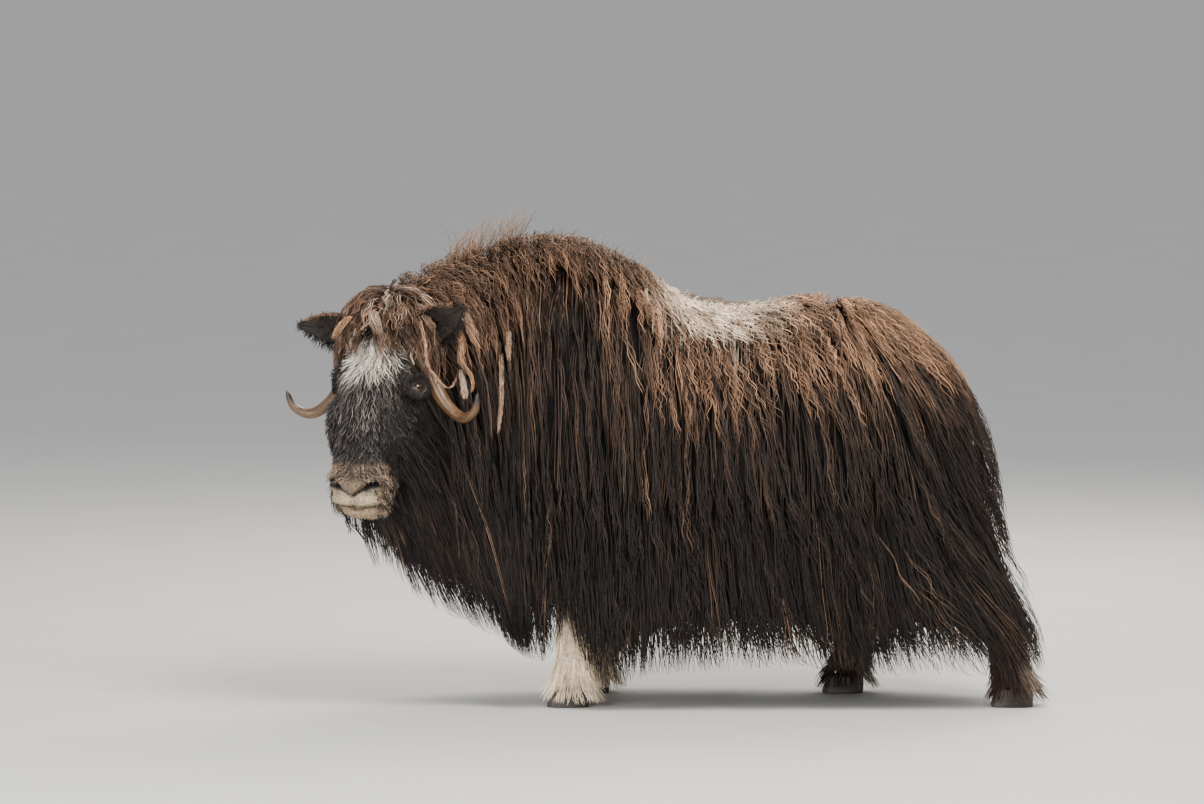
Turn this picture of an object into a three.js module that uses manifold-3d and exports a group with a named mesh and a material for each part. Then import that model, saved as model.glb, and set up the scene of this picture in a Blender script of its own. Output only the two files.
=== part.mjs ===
// A muskox standing with its head turned to its left, as a still life-size model.
// Millimetres, +Z up. The animal faces -X, its left side faces -Y, and its feet stand on z = 0.
import * as THREE from "three";
import { mergeVertices } from "three/addons/utils/BufferGeometryUtils.js";
import Module from "manifold-3d";

const wasm = await Module();
wasm.setup();

// Driving sizes
const GAP = 0.3; // kept between pieces that touch
const RUMP_COLUMNS = 10; // columns of locks round the hindquarters
const LEG_ROOM = 10; // kept free of the trunk's locks round each leg
const WELD = 1e-3; // vertices closer than this are one vertex
const SLIVER = 0.08; // edges shorter than this are taken out after a cut
const NECK_BEND = { from: -430, radius: 490 }; // the neck turns to the left along this arc
const FRONT = -825; // spine place of the foremost body station
const RUMP = 400; // spine place where the hindquarters begin to round off
const RUMP_REACH = { core: 380, coat: 445 }; // how far the hindquarters reach behind RUMP
const NECK_CUT = -455; // spine place of the cut between torso and neck
const HEAD_CUT = -762; // spine place of the cut between neck and head
const ROUNDNESS = { side: 2.2, rump: 1.8, belly: 3.6 }; // exponents of the sections, 2 being an ellipse

// Body stations: heights of back, widest level and belly, and half width, of the body under the locks and
// of the coat out to its tips
const BODY = [
  { at: -825, back: 1045, wide: 850, belly: 720, half: 112, coatBack: 1150, coatHalf: 205, hem: 445 },
  { at: -765, back: 1068, wide: 830, belly: 680, half: 132, coatBack: 1178, coatHalf: 222, hem: 380 },
  { at: -600, back: 1128, wide: 760, belly: 600, half: 168, coatBack: 1232, coatHalf: 270, hem: 254 },
  { at: -430, back: 1172, wide: 660, belly: 520, half: 214, coatBack: 1274, coatHalf: 320, hem: 172 },
  { at: -300, back: 1170, wide: 620, belly: 470, half: 240, coatBack: 1262, coatHalf: 345, hem: 122 },
  { at: -135, back: 1112, wide: 600, belly: 440, half: 258, coatBack: 1188, coatHalf: 358, hem: 102 },
  { at: 0, back: 1058, wide: 600, belly: 430, half: 268, coatBack: 1114, coatHalf: 362, hem: 136 },
  { at: 150, back: 1048, wide: 600, belly: 430, half: 270, coatBack: 1100, coatHalf: 362, hem: 152 },
  { at: 300, back: 1062, wide: 600, belly: 440, half: 262, coatBack: 1118, coatHalf: 356, hem: 162 },
  { at: 400, back: 1055, wide: 600, belly: 448, half: 250, coatBack: 1112, coatHalf: 345, hem: 144 },
];

// Locks: each is rooted this deep in the body, as a share of the coat's depth there, and thins to its tip
const LOCK = { sunk: -0.28, thick: 28, width: 142 };
// Rows of locks from the spine (0) over the widest level (1) to the hem (2): where they root and how far they hang
const ROWS = [
  { from: -0.14, span: 0.66, lift: 1.04 },
  { from: 0.22, span: 0.66, lift: 1 },
  { from: 0.58, span: 0.66, lift: 1 },
  { from: 0.9, span: 0.86, lift: 0.74 },
  { from: 1.18, span: 0.82, lift: 0.94 },
];
// Wisps that stand up on the hump: spine places and heights of their tips
const WISPS = [
  { at: -545, top: 1285 },
  { at: -505, top: 1308 },
  { at: -462, top: 1300 },
];
const WISP = { sunk: 25, lean: 5, width: 58, thick: 22 };
// Locks of the throat: how far each roots to the left of the spine, and where they root and end
const THROAT = { asides: [-120, -40, 40, 120], behindHead: 34, root: 740, thick: 20 };
// The near hind leg is stretched out backwards, and the long hair of the rump spreads over it, at this angle
const LEG_SPREAD = { angle: 1.22, width: 0.5, lift: 1.3, within: 0.14, stop: 1.78 };

// The head's own frame: origin midway between the eyes, X forward, Y to its left, Z up
const HEAD_PLACE = new THREE.Vector3(-840, -265, 872);
const HEAD_YAW = THREE.MathUtils.degToRad(-120);
const FACE = [
  { front: [-93, 153], under: [-181, 81], half: 58 },
  { front: [-32, 151], under: [-190, 16], half: 96 },
  { front: [12, 121], under: [-176, -60], half: 114 },
  { front: [46, 77], under: [-151, -126], half: 118 },
  { front: [71, 33], under: [-114, -180], half: 114 },
  { front: [92, -23], under: [-80, -219], half: 103 },
  { front: [111, -81], under: [-45, -253], half: 91 },
  { front: [129, -138], under: [-15, -283], half: 82 },
  { front: [142, -182], under: [10, -310], half: 78 },
  { front: [147, -216], under: [35, -333], half: 76 },
  { front: [141, -254], under: [55, -347], half: 68 },
  { front: [130, -288], under: [72, -352], half: 54 },
  { front: [113, -318], under: [90, -346], half: 26 },
];
const EYE = { forward: 2, side: 108, up: 0, radius: 20 };
const EYE_FACING = new THREE.Vector3(0.42, 0.9, 0.06).normalize();
const HORN_LINE = [
  [-50, 62, 125],
  [-56, 104, 82],
  [-61, 136, 20],
  [-57, 178, -44],
  [-47, 236, -80],
  [-31, 284, -66],
  [-19, 301, -24],
];
const HORN_RADIUS = { base: 30, tip: 4 };
const EAR_LINE = { root: [-72, 92, 150], above: 52, tip: { left: [-8, 262, 226], right: [-8, 262, 156] } };
const EAR = { halfWidth: 44, wall: 7, depth: 26 };

// The bushy cap of hair on the head: a dome with locks that fall from the crown all round it.
const CAP = { centre: [-70, 0, 118], core: [98, 116, 126], coat: [128, 152, 166], girth: 640, thick: 22 };
const CAP_ROWS = [
  { from: -16, to: 70, count: 5, turned: 0 },
  { from: 36, to: 102, count: 6, turned: 0.5 },
  { from: 70, to: 122, count: 9, turned: 0 },
];
// Hair under the jaw and behind the cheeks: where each lock roots on the left, and how far it falls
const JAW_LOCKS = [
  { root: [-30, 36, -238], fall: 150 },
  { root: [-62, 0, -222], fall: 190 },
  { root: [-74, 60, -196], fall: 190 },
  { root: [-108, 28, -176], fall: 235 },
  { root: [-118, 84, -120], fall: 250 },
  { root: [-108, 110, 20], fall: 250 },
];
const JAW_LOCK = { width: 62, thick: 22, sunk: 25 };
// Swellings of the head as centres and radii; those off the middle come in pairs
const FACE_SWELLINGS = [
  { centre: [0, 92, 2], radii: [40, 30, 36] }, // bone round the eyes
  { centre: [122, 46, -262], radii: [26, 26, 26] }, // nostril wings
  { centre: [114, 30, -296], radii: [26, 40, 20] }, // upper lip pads
  { centre: [92, 0, -330], radii: [34, 52, 20] }, // lower lip and chin
];
const NOSTRIL = { centre: [138, 40, -267], radii: [22, 27, 8], turn: [0.62, 0.2, 0.35] };
const MOUTH = { centre: [86, 0, -314], size: [130, 200, 4], slope: 0.19, inside: 62 };

// Legs: stations from the hip or shoulder down to the fetlock, with the half width fore and aft and across,
// and tiers of hair locks, each with the heights where it roots and ends and how far it spreads
const FOOT = { top: 52, length: 112, width: 100, toe: 9 }; // toe is how far the hoof reaches forward of the leg
const FEATHER = [
  { from: 262, to: 108, spread: 26, back: 22, count: 4 },
  { from: 150, to: 9, spread: 40, back: 26, count: 6 },
];
const SHAG = [
  { from: 236, to: 120, spread: 22, back: 20, count: 4 },
  { from: 164, to: 10, spread: 34, back: 30, count: 6 },
];
const LEG_LOCK = { girth: 364, thick: 14, sunk: 14, raised: 9 };
const LEGS = {
  leg_front_left: {
    stations: [
      { at: [-300, -150, 640], fore: 75, across: 60 },
      { at: [-310, -156, 400], fore: 56, across: 48 },
      { at: [-318, -158, 270], fore: 46, across: 42 },
      { at: [-318, -160, 150], fore: 42, across: 38 },
      { at: [-322, -160, 52], fore: 54, across: 44 },
    ],
    tiers: FEATHER,
  },
  leg_front_right: {
    stations: [
      { at: [-280, 150, 640], fore: 75, across: 60 },
      { at: [-276, 156, 400], fore: 56, across: 48 },
      { at: [-270, 158, 270], fore: 46, across: 42 },
      { at: [-268, 160, 150], fore: 42, across: 38 },
      { at: [-266, 160, 52], fore: 54, across: 44 },
    ],
    tiers: FEATHER,
  },
  leg_hind_left: {
    stations: [
      { at: [600, -130, 640], fore: 100, across: 62 },
      { at: [672, -148, 440], fore: 70, across: 54 },
      { at: [775, -156, 300], fore: 52, across: 44 },
      { at: [848, -158, 170], fore: 44, across: 38 },
      { at: [880, -160, 52], fore: 54, across: 44 },
    ],
    tiers: SHAG,
  },
  leg_hind_right: {
    stations: [
      { at: [530, 130, 640], fore: 100, across: 62 },
      { at: [508, 148, 440], fore: 70, across: 54 },
      { at: [490, 156, 290], fore: 52, across: 44 },
      { at: [459, 158, 160], fore: 44, across: 38 },
      { at: [430, 160, 52], fore: 54, across: 44 },
    ],
    tiers: SHAG,
  },
};
const TAIL = { root: [742, 0, 850], length: 170, half: 36 };

// Materials
const COAT = new THREE.MeshStandardMaterial({ color: 0x3a2a20, roughness: 0.9, metalness: 0 });
const MANE = new THREE.MeshStandardMaterial({ color: 0x6b4a33, roughness: 0.9, metalness: 0 });
const FACE_HAIR = new THREE.MeshStandardMaterial({ color: 0x2a231f, roughness: 0.85, metalness: 0 });
const PALE_LEG = new THREE.MeshStandardMaterial({ color: 0xc9b29a, roughness: 0.9, metalness: 0 });
const EAR_HAIR = new THREE.MeshStandardMaterial({ color: 0x1f1814, roughness: 0.9, metalness: 0 });
const HORN = new THREE.MeshStandardMaterial({ color: 0x9c7442, roughness: 0.45, metalness: 0 });
const EYEBALL = new THREE.MeshStandardMaterial({ color: 0x1c120c, roughness: 0.1, metalness: 0 });
const HOOF = new THREE.MeshStandardMaterial({ color: 0x2c2723, roughness: 0.6, metalness: 0 });

// Solids

// A closed solid from loose triangles, turned to face outwards.
function solidFrom(points, faces) {
  const loose = new THREE.BufferGeometry();
  loose.setAttribute("position", new THREE.Float32BufferAttribute(points.flatMap((p) => [p.x, p.y, p.z]), 3));
  loose.setIndex(faces.flat());
  const welded = mergeVertices(loose, WELD);
  const at = welded.attributes.position.array;
  const corners = [];
  for (let i = 0; i < welded.index.count; i += 3) {
    const [a, b, c] = [0, 1, 2].map((k) => welded.index.getX(i + k));
    if (a !== b && b !== c && a !== c) corners.push(a, b, c);
  }
  const build = (list) =>
    new wasm.Manifold(new wasm.Mesh({ numProp: 3, vertProperties: at, triVerts: new Uint32Array(list) }));
  const made = build(corners);
  return made.volume() > 0 ? made : build([...corners].reverse());
}

// A solid through rings of points; a ring of one point closes that end to a tip.
function loft(rings) {
  const points = [];
  const starts = rings.map((ring) => points.push(...ring) - ring.length);
  const faces = [];
  for (let i = 0; i + 1 < rings.length; i++) {
    const [n, m] = [rings[i].length, rings[i + 1].length];
    const count = Math.max(n, m);
    for (let k = 0; k < count; k++) {
      const next = (k + 1) % count;
      const [a, b] = [starts[i] + (k % n), starts[i] + (next % n)];
      const [c, d] = [starts[i + 1] + (k % m), starts[i + 1] + (next % m)];
      if (n > 1) faces.push([a, b, c]);
      if (m > 1) faces.push([b, d, c]);
    }
  }
  const cap = (i, flip) => {
    const ring = rings[i];
    if (ring.length < 3) return;
    for (let k = 1; k + 1 < ring.length; k++) {
      const face = [starts[i], starts[i] + k, starts[i] + k + 1];
      faces.push(flip ? face.reverse() : face);
    }
  };
  cap(0, true);
  cap(rings.length - 1, false);
  return solidFrom(points, faces);
}

function solidOfGeometry(geometry) {
  const bare = geometry.index ? geometry.toNonIndexed() : geometry;
  const at = bare.attributes.position;
  const points = Array.from({ length: at.count }, (_, i) => new THREE.Vector3().fromBufferAttribute(at, i));
  const faces = Array.from({ length: at.count / 3 }, (_, i) => [3 * i, 3 * i + 1, 3 * i + 2]);
  return solidFrom(points, faces);
}

// An egg-shaped solid with its three radii along its own axes, then turned and moved.
function egg(centre, radii, turn = new THREE.Euler(), detail = [12, 8]) {
  const ball = new THREE.SphereGeometry(1, ...detail);
  const place = new THREE.Matrix4().compose(
    new THREE.Vector3(...centre),
    new THREE.Quaternion().setFromEuler(turn),
    new THREE.Vector3(...radii),
  );
  return solidOfGeometry(ball.applyMatrix4(place));
}

const union = (solids) => wasm.Manifold.union(solids);

// The largest closed surface of a solid, without sealed hollows or loose scraps.
function largest(solid) {
  const bodies = solid.simplify(SLIVER).decompose();
  return bodies.reduce((best, body) => (body.volume() > best.volume() ? body : best));
}

function meshOf(solid, name, material) {
  const { vertProperties, triVerts } = solid.getMesh();
  const geometry = new THREE.BufferGeometry();
  geometry.setAttribute("position", new THREE.BufferAttribute(new Float32Array(vertProperties), 3));
  geometry.setIndex(new THREE.BufferAttribute(new Uint32Array(triVerts), 1));
  geometry.computeVertexNormals();
  const mesh = new THREE.Mesh(geometry, material);
  mesh.name = name;
  return mesh;
}

// Rings of an oval tube along points, with radii given at each point.
function tubeRings(points, radii, sides, sideways = new THREE.Vector3(0, 1, 0)) {
  return points.map((point, i) => {
    const ahead = points[Math.min(i + 1, points.length - 1)].clone().sub(points[Math.max(i - 1, 0)]).normalize();
    const across = sideways.clone().addScaledVector(ahead, -sideways.dot(ahead)).normalize();
    const over = ahead.clone().cross(across);
    const [wide, deep] = radii(i / (points.length - 1));
    return Array.from({ length: sides }, (_, k) => {
      const angle = (2 * Math.PI * k) / sides;
      return point
        .clone()
        .addScaledVector(across, wide * Math.cos(angle))
        .addScaledVector(over, deep * Math.sin(angle));
    });
  });
}

// Locks

// Repeatable draws between -1 and 1.
function draws(seed) {
  let state = seed;
  return () => {
    state = (Math.imul(state, 1664525) + 1013904223) >>> 0;
    return state / 2 ** 31 - 1;
  };
}

// A flat lock that tapers to its last place: flat towards the body, with a ridge along its outside.
function lock(places, width, thick) {
  const rings = places.slice(0, -1).map(({ at, out }, i) => {
    const taper = 0.75 + 0.7 * (i / (places.length - 1)) - 1.0 * (i / (places.length - 1)) ** 2;
    const ahead = places[i + 1].at.clone().sub(places[Math.max(i - 1, 0)].at).normalize();
    const across = ahead.clone().cross(out).normalize().multiplyScalar((width * taper) / 2);
    const over = across.clone().cross(ahead).normalize().multiplyScalar(thick * taper);
    const ridge = at.clone().addScaledVector(over, Math.sign(over.dot(out)));
    return [at.clone().add(across), ridge, at.clone().sub(across)];
  });
  return loft([...rings, [places.at(-1).at]]);
}

// The trunk: torso and neck, as upright half-sections all round the animal

function profile(stations, key) {
  const places = stations.map((s) => s.at);
  const curve = new THREE.CubicInterpolant(places, stations.map((s) => s[key]), 1, [0]);
  return (u) => curve.evaluate(THREE.MathUtils.clamp(u, places[0], places.at(-1)))[0];
}

const bodyAt = Object.fromEntries(
  Object.keys(BODY[0])
    .filter((key) => key !== "at")
    .map((key) => [key, profile(BODY, key)]),
);

// Where the spine is in plan, and the directions ahead and to the left there.
function spine(u) {
  const turn = Math.max(0, (NECK_BEND.from - u) / NECK_BEND.radius);
  const bent = NECK_BEND.radius * Math.sin(turn);
  return {
    point: new THREE.Vector3(turn > 0 ? NECK_BEND.from - bent : u, -NECK_BEND.radius * (1 - Math.cos(turn)), 0),
    ahead: new THREE.Vector3(-Math.cos(turn), -Math.sin(turn), 0),
    left: new THREE.Vector3(Math.sin(turn), -Math.cos(turn), 0),
  };
}

// A half-section at spine place u, facing out at an angle from its left side, 90 degrees being straight behind.
function column(u, angle, grow = 0) {
  const { point, ahead, left } = spine(u);
  const [sine, cosine] = [Math.sin(angle), Math.cos(angle)];
  const reach = (half, end) => 1 / Math.hypot(cosine / half, sine / end);
  const behind = Math.max(0, sine);
  const layer = (half, end, back, low) => ({
    half: reach(half, behind > 0 ? end : half) + grow,
    back: back + grow,
    low: low - grow,
  });
  return {
    u,
    angle,
    point,
    out: left.clone().multiplyScalar(cosine).addScaledVector(ahead, -sine),
    power: 2 / (ROUNDNESS.side + (ROUNDNESS.rump - ROUNDNESS.side) * behind ** 2),
    core: layer(bodyAt.half(u), RUMP_REACH.core, bodyAt.back(u), bodyAt.belly(u)),
    coat: layer(bodyAt.coatHalf(u), RUMP_REACH.coat, bodyAt.coatBack(u), bodyAt.hem(u)),
    wide: bodyAt.wide(u),
  };
}

// A closed half-section point, from the spine at turn 0 over the flank to the middle of the belly at turn 1.
function sectionPoint(col, layer, turn) {
  const shape = col[layer];
  const upper = turn <= 0.5;
  const power = upper ? col.power : 2 / ROUNDNESS.belly;
  const outward = shape.half * Math.abs(Math.sin(Math.PI * turn)) ** power;
  const rise = Math.abs(Math.cos(Math.PI * turn)) ** power;
  const z = upper ? col.wide + (shape.back - col.wide) * rise : col.wide - (col.wide - shape.low) * rise;
  return col.point.clone().addScaledVector(col.out, turn === 0 || turn === 1 ? 0 : outward).setZ(z);
}

// A place in the coat: q runs from the spine (0) over the widest level (1) to the hem (2), less than 0 being
// beyond the spine, and depth from the body (0) to the coat's outside (1).
function coatPlace(col, q, depth) {
  const side = Math.sign(q) || 1;
  const layerPoint = (layer) => {
    const over = Math.max(0, Math.abs(q) - 1);
    const point = sectionPoint(col, layer, Math.min(Math.abs(q), 1) / 2);
    if (over === 0) return point;
    const narrowing = layer === "core" ? 0.22 : 0.07;
    return point
      .addScaledVector(col.out, -col[layer].half * narrowing * over ** 2)
      .setZ(col.wide - (col.wide - col.coat.low) * over);
  };
  const [inner, outer] = [layerPoint("core"), layerPoint("coat")];
  const across = (p) => p.clone().sub(col.point).dot(col.out) * (side - 1);
  for (const p of [inner, outer]) p.addScaledVector(col.out, across(p));
  return { at: inner.clone().lerp(outer, depth), out: outer.sub(inner).normalize() };
}

function trunkColumns(sideCount, rumpCount, grow) {
  const along = (i) => FRONT + ((RUMP - FRONT) * i) / sideCount;
  const columns = [];
  for (let i = 0; i <= sideCount; i++) columns.push(column(along(i), 0, grow));
  for (let k = 1; k < rumpCount; k++) columns.push(column(RUMP, (Math.PI * k) / rumpCount, grow));
  for (let i = sideCount; i >= 0; i--) columns.push(column(along(i), Math.PI, grow));
  for (let k = 1; k < rumpCount; k++) columns.push(column(FRONT, Math.PI + (Math.PI * k) / rumpCount, grow));
  return columns;
}

function trunk(layer, { grow = 0, sides = 10, rump = 8, rows = 10 } = {}) {
  const columns = trunkColumns(sides, rump, grow);
  const points = [];
  const faces = [];
  columns.forEach((col) => {
    for (let j = 0; j <= rows; j++) points.push(sectionPoint(col, layer, j / rows));
  });
  columns.forEach((_, i) => {
    const [a, b] = [i * (rows + 1), ((i + 1) % columns.length) * (rows + 1)];
    for (let j = 0; j < rows; j++) {
      faces.push([a + j, b + j, a + j + 1], [b + j, b + j + 1, a + j + 1]);
    }
  });
  return solidFrom(points, faces);
}

// The part of a solid ahead of a cut across the spine at place u, or behind it, half a gap clear of the cut.
function ahead(solid, u) {
  const at = spine(u);
  return solid.trimByPlane(at.ahead.toArray(), at.ahead.dot(at.point) + GAP / 2);
}
function behind(solid, u) {
  const at = spine(u);
  return solid.trimByPlane(at.ahead.clone().negate().toArray(), -at.ahead.dot(at.point) + GAP / 2);
}

// One lock of the trunk's coat down a column, swinging sideways by a few millimetres on its way.
function trunkLock(col, { from, span, lift }, width, draw) {
  const swing = col.out.clone().cross(new THREE.Vector3(0, 0, 1));
  const [lean, wave, reach] = [10 * draw(), 7 * draw(), 0.06 * draw()];
  const steps = from < 0.2 ? 4 : 3;
  const places = Array.from({ length: steps + 1 }, (_, i) => {
    const t = i / steps;
    const depth = LOCK.sunk + (lift - LOCK.sunk) * (1 - (1 - t) ** 1.5);
    const place = coatPlace(col, from + (span + reach) * t, depth);
    place.at.addScaledVector(swing, lean * t * t + wave * Math.sin(5 * t));
    return place;
  });
  return lock(places, width, LOCK.thick);
}

// Columns of locks along both sides and round the rump, moved on by a share of a column.
function lockColumns(shift) {
  const side = (angle) => {
    const inner = Math.cos(angle) / (2 * NECK_BEND.radius);
    const columns = [];
    for (let u = HEAD_CUT - LOCK.width / 2, step; u < RUMP; u += step) {
      step = LOCK.width / (u < NECK_BEND.from ? 1 - inner * bodyAt.coatHalf(u) : 1);
      if (u + step * shift < RUMP) columns.push(column(u + step * shift, angle));
    }
    return columns;
  };
  const turn = Math.PI / RUMP_COLUMNS;
  const rump = Array.from({ length: RUMP_COLUMNS }, (_, k) => column(RUMP, turn * (k + 0.5 + (shift || -0.5))));
  return [...side(0), ...rump, ...side(Math.PI)];
}

// A row's figures in one column, spread over the leg that stretches out under the rump.
function rowIn(col, row) {
  const away = col.u === RUMP ? Math.abs(col.angle - LEG_SPREAD.angle) : Infinity;
  const end = row.from + row.span;
  const stop = away < LEG_SPREAD.within ? Math.min(end, LEG_SPREAD.stop) : end;
  const share = THREE.MathUtils.clamp((end - 1.2) / 0.7, 0, 1);
  const spread = LEG_SPREAD.lift * share * Math.exp(-((away / LEG_SPREAD.width) ** 2));
  return { from: row.from, span: stop - row.from, lift: row.lift + spread };
}

function trunkLocks(seed, spare) {
  const draw = draws(seed);
  return ROWS.flatMap((row, r) =>
    lockColumns(r % 2 ? 0.5 : 0)
      .filter((col) => !spare(col, row))
      .map((col) => trunkLock(col, rowIn(col, row), LOCK.width, draw)),
  );
}

// Wisps of the hump, which rise from the spine and lean forwards.
function hackles() {
  return WISPS.map(({ at, top }, i) => {
    const { point, ahead: forward, left } = spine(at);
    const low = bodyAt.back(at) - WISP.sunk;
    const places = [0, 1, 2, 3].map((k) => ({
      at: point
        .clone()
        .addScaledVector(forward, WISP.lean * k * k)
        .setZ(THREE.MathUtils.lerp(low, top, k / 3)),
      out: i % 2 ? left : forward.clone().negate(),
    }));
    return lock(places, WISP.width, WISP.thick);
  });
}

// The hair that hangs from the throat between the two sides of the neck.
function throatLocks(seed) {
  const draw = draws(seed);
  const { point, left, ahead: forward } = spine(HEAD_CUT + THROAT.behindHead);
  return THROAT.asides.map((aside) => {
    const root = point.clone().addScaledVector(left, aside);
    const places = [0, 1, 2, 3].map((i) => ({
      at: root
        .clone()
        .addScaledVector(forward, 14 * Math.sin(i))
        .addScaledVector(left, 8 * i * draw())
        .setZ(THREE.MathUtils.lerp(THROAT.root, bodyAt.hem(HEAD_CUT) + 25 * draw(), i / 3)),
      out: forward,
    }));
    return lock(places, LOCK.width, THROAT.thick);
  });
}

// Head

const headFrame = new THREE.Matrix4().makeRotationZ(HEAD_YAW).setPosition(HEAD_PLACE);
const toHead = headFrame.clone().invert();

function faceRings(sides) {
  return FACE.map(({ front, under, half }) => {
    const top = new THREE.Vector3(front[0], 0, front[1]);
    const low = new THREE.Vector3(under[0], 0, under[1]);
    const middle = top.clone().add(low).multiplyScalar(0.5);
    const rise = top.clone().sub(middle);
    return Array.from({ length: sides }, (_, k) => {
      const angle = (2 * Math.PI * k) / sides;
      const side = Math.sign(Math.sin(angle)) * Math.abs(Math.sin(angle)) ** 0.85;
      return middle.clone().addScaledVector(rise, Math.cos(angle)).setY(half * side);
    });
  });
}

function capLocks(draw) {
  const place = (angle, polar, depth) => {
    const [a, p] = [THREE.MathUtils.degToRad(angle), THREE.MathUtils.degToRad(polar)];
    const way = [Math.sin(p) * Math.cos(a), Math.sin(p) * Math.sin(a), Math.cos(p)];
    const at = way.map((w, k) => CAP.centre[k] + w * THREE.MathUtils.lerp(CAP.core[k], CAP.coat[k], depth));
    return { at: new THREE.Vector3(...at), out: new THREE.Vector3(...way) };
  };
  return CAP_ROWS.flatMap(({ from, to, count, turned }) =>
    Array.from({ length: count }, (_, k) => {
      const angle = (360 * (k + turned)) / count;
      const aside = Math.abs(((angle + 180) % 360) - 180); // 0 in front, 180 behind
      const end = aside > 45 && aside < 130 ? Math.min(to, EAR_LINE.above) : to + 8 * draw();
      if (end < from + 20) return null;
      const places = [0, 1, 2, 3].map((i) => {
        const t = i / 3;
        return place(angle + 6 * t * draw(), from + (end - from) * t, LOCK.sunk + 1.28 * t ** 0.8);
      });
      return lock(places, (CAP.girth / count) * (from < 10 ? 0.72 : 1.05), CAP.thick);
    }).filter(Boolean),
  );
}

function jawLocks(draw) {
  return JAW_LOCKS.flatMap(({ root, fall }) => {
    const sides = root[1] > 0 ? [1, -1] : [1];
    return sides.map((side) => {
      const outward = new THREE.Vector3(0.35, side * (root[1] > 50 ? 1 : 0.2), 0).normalize();
      const places = [0, 1, 2, 3].map((i) => {
        const t = i / 3;
        const at = new THREE.Vector3(root[0], side * root[1], root[2] + JAW_LOCK.sunk);
        at.addScaledVector(outward, -12 + 30 * Math.sin(2.2 * t));
        at.x -= 6 * t * t + 4 * draw();
        at.z -= (fall + JAW_LOCK.sunk) * t;
        return { at, out: outward };
      });
      return lock(places, JAW_LOCK.width, JAW_LOCK.thick);
    });
  });
}

function headHair(seed) {
  const draw = draws(seed);
  const dome = egg(CAP.centre, CAP.core, undefined, [10, 7]);
  const throat = egg([-85, 0, -170], [70, 82, 95], undefined, [8, 6]);
  return [dome, throat, ...capLocks(draw), ...jawLocks(draw)];
}

const mirrored = ([x, y, z]) => [x, -y, z];

function eyeCentre(side) {
  return [EYE.forward, side * EYE.side, EYE.up];
}

function eyeball(side, grow = 0) {
  const radius = EYE.radius + grow;
  return egg(eyeCentre(side), [radius, radius, radius], undefined, [10, 7]);
}

// An arched ridge over half an eye, rising to the front of the ball in the middle.
function lid(side, upper) {
  const facing = EYE_FACING.clone().setY(side * EYE_FACING.y);
  const along = new THREE.Vector3(0, 0, 1).cross(facing).normalize();
  const up = facing.clone().cross(along).multiplyScalar(upper ? 1 : -1);
  const steps = 6;
  const points = Array.from({ length: steps + 1 }, (_, i) => {
    const angle = (Math.PI * i) / steps;
    return new THREE.Vector3(...eyeCentre(side))
      .addScaledVector(along, 21 * Math.cos(angle))
      .addScaledVector(up, (upper ? 11 : 10) * Math.sin(angle))
      .addScaledVector(facing, 6 + 11 * Math.sin(angle));
  });
  return loft(tubeRings(points, () => [5, 5], 4, facing));
}

function faceSolid() {
  const skull = loft(faceRings(14));
  const both = (make) => [1, -1].map(make);
  const swelling = ({ centre, radii }, side) => egg(side > 0 ? centre : mirrored(centre), radii, undefined, [8, 5]);
  const added = [
    ...FACE_SWELLINGS.flatMap((one) => (one.centre[1] ? both((side) => swelling(one, side)) : [swelling(one, 1)])),
    ...both((side) => lid(side, true)),
    ...both((side) => lid(side, false)),
  ];
  const nostril = (side) => {
    const [a, b, c] = NOSTRIL.turn;
    const centre = side > 0 ? NOSTRIL.centre : mirrored(NOSTRIL.centre);
    return egg(centre, NOSTRIL.radii, new THREE.Euler(side * a, b, side * c), [8, 5]);
  };
  const inner = egg([62, 0, -305], [MOUTH.inside, MOUTH.inside, 60], undefined, [10, 6]);
  const place = new THREE.Matrix4().makeRotationY(MOUTH.slope).setPosition(...MOUTH.centre);
  const slit = solidOfGeometry(new THREE.BoxGeometry(...MOUTH.size).applyMatrix4(place)).subtract(inner);
  return union([skull, ...added]).subtract(union([...both(nostril), slit]));
}

function hornSolid(side, grow = 0) {
  const line = HORN_LINE.map((p) => new THREE.Vector3(...(side > 0 ? p : mirrored(p))));
  const points = new THREE.CatmullRomCurve3(line).getPoints(11);
  points[0].addScaledVector(points[0].clone().sub(points[1]).normalize(), grow);
  const radius = (t) => (HORN_RADIUS.base - (HORN_RADIUS.base - HORN_RADIUS.tip) * t ** 1.35) + grow;
  const rings = tubeRings(points, (t) => [radius(t), radius(t) * 0.92], 9, new THREE.Vector3(1, 0, 0));
  const tip = points.at(-1).clone().addScaledVector(points.at(-1).clone().sub(points.at(-2)).normalize(), 12 + grow);
  return loft([...rings, [tip]]);
}

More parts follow.
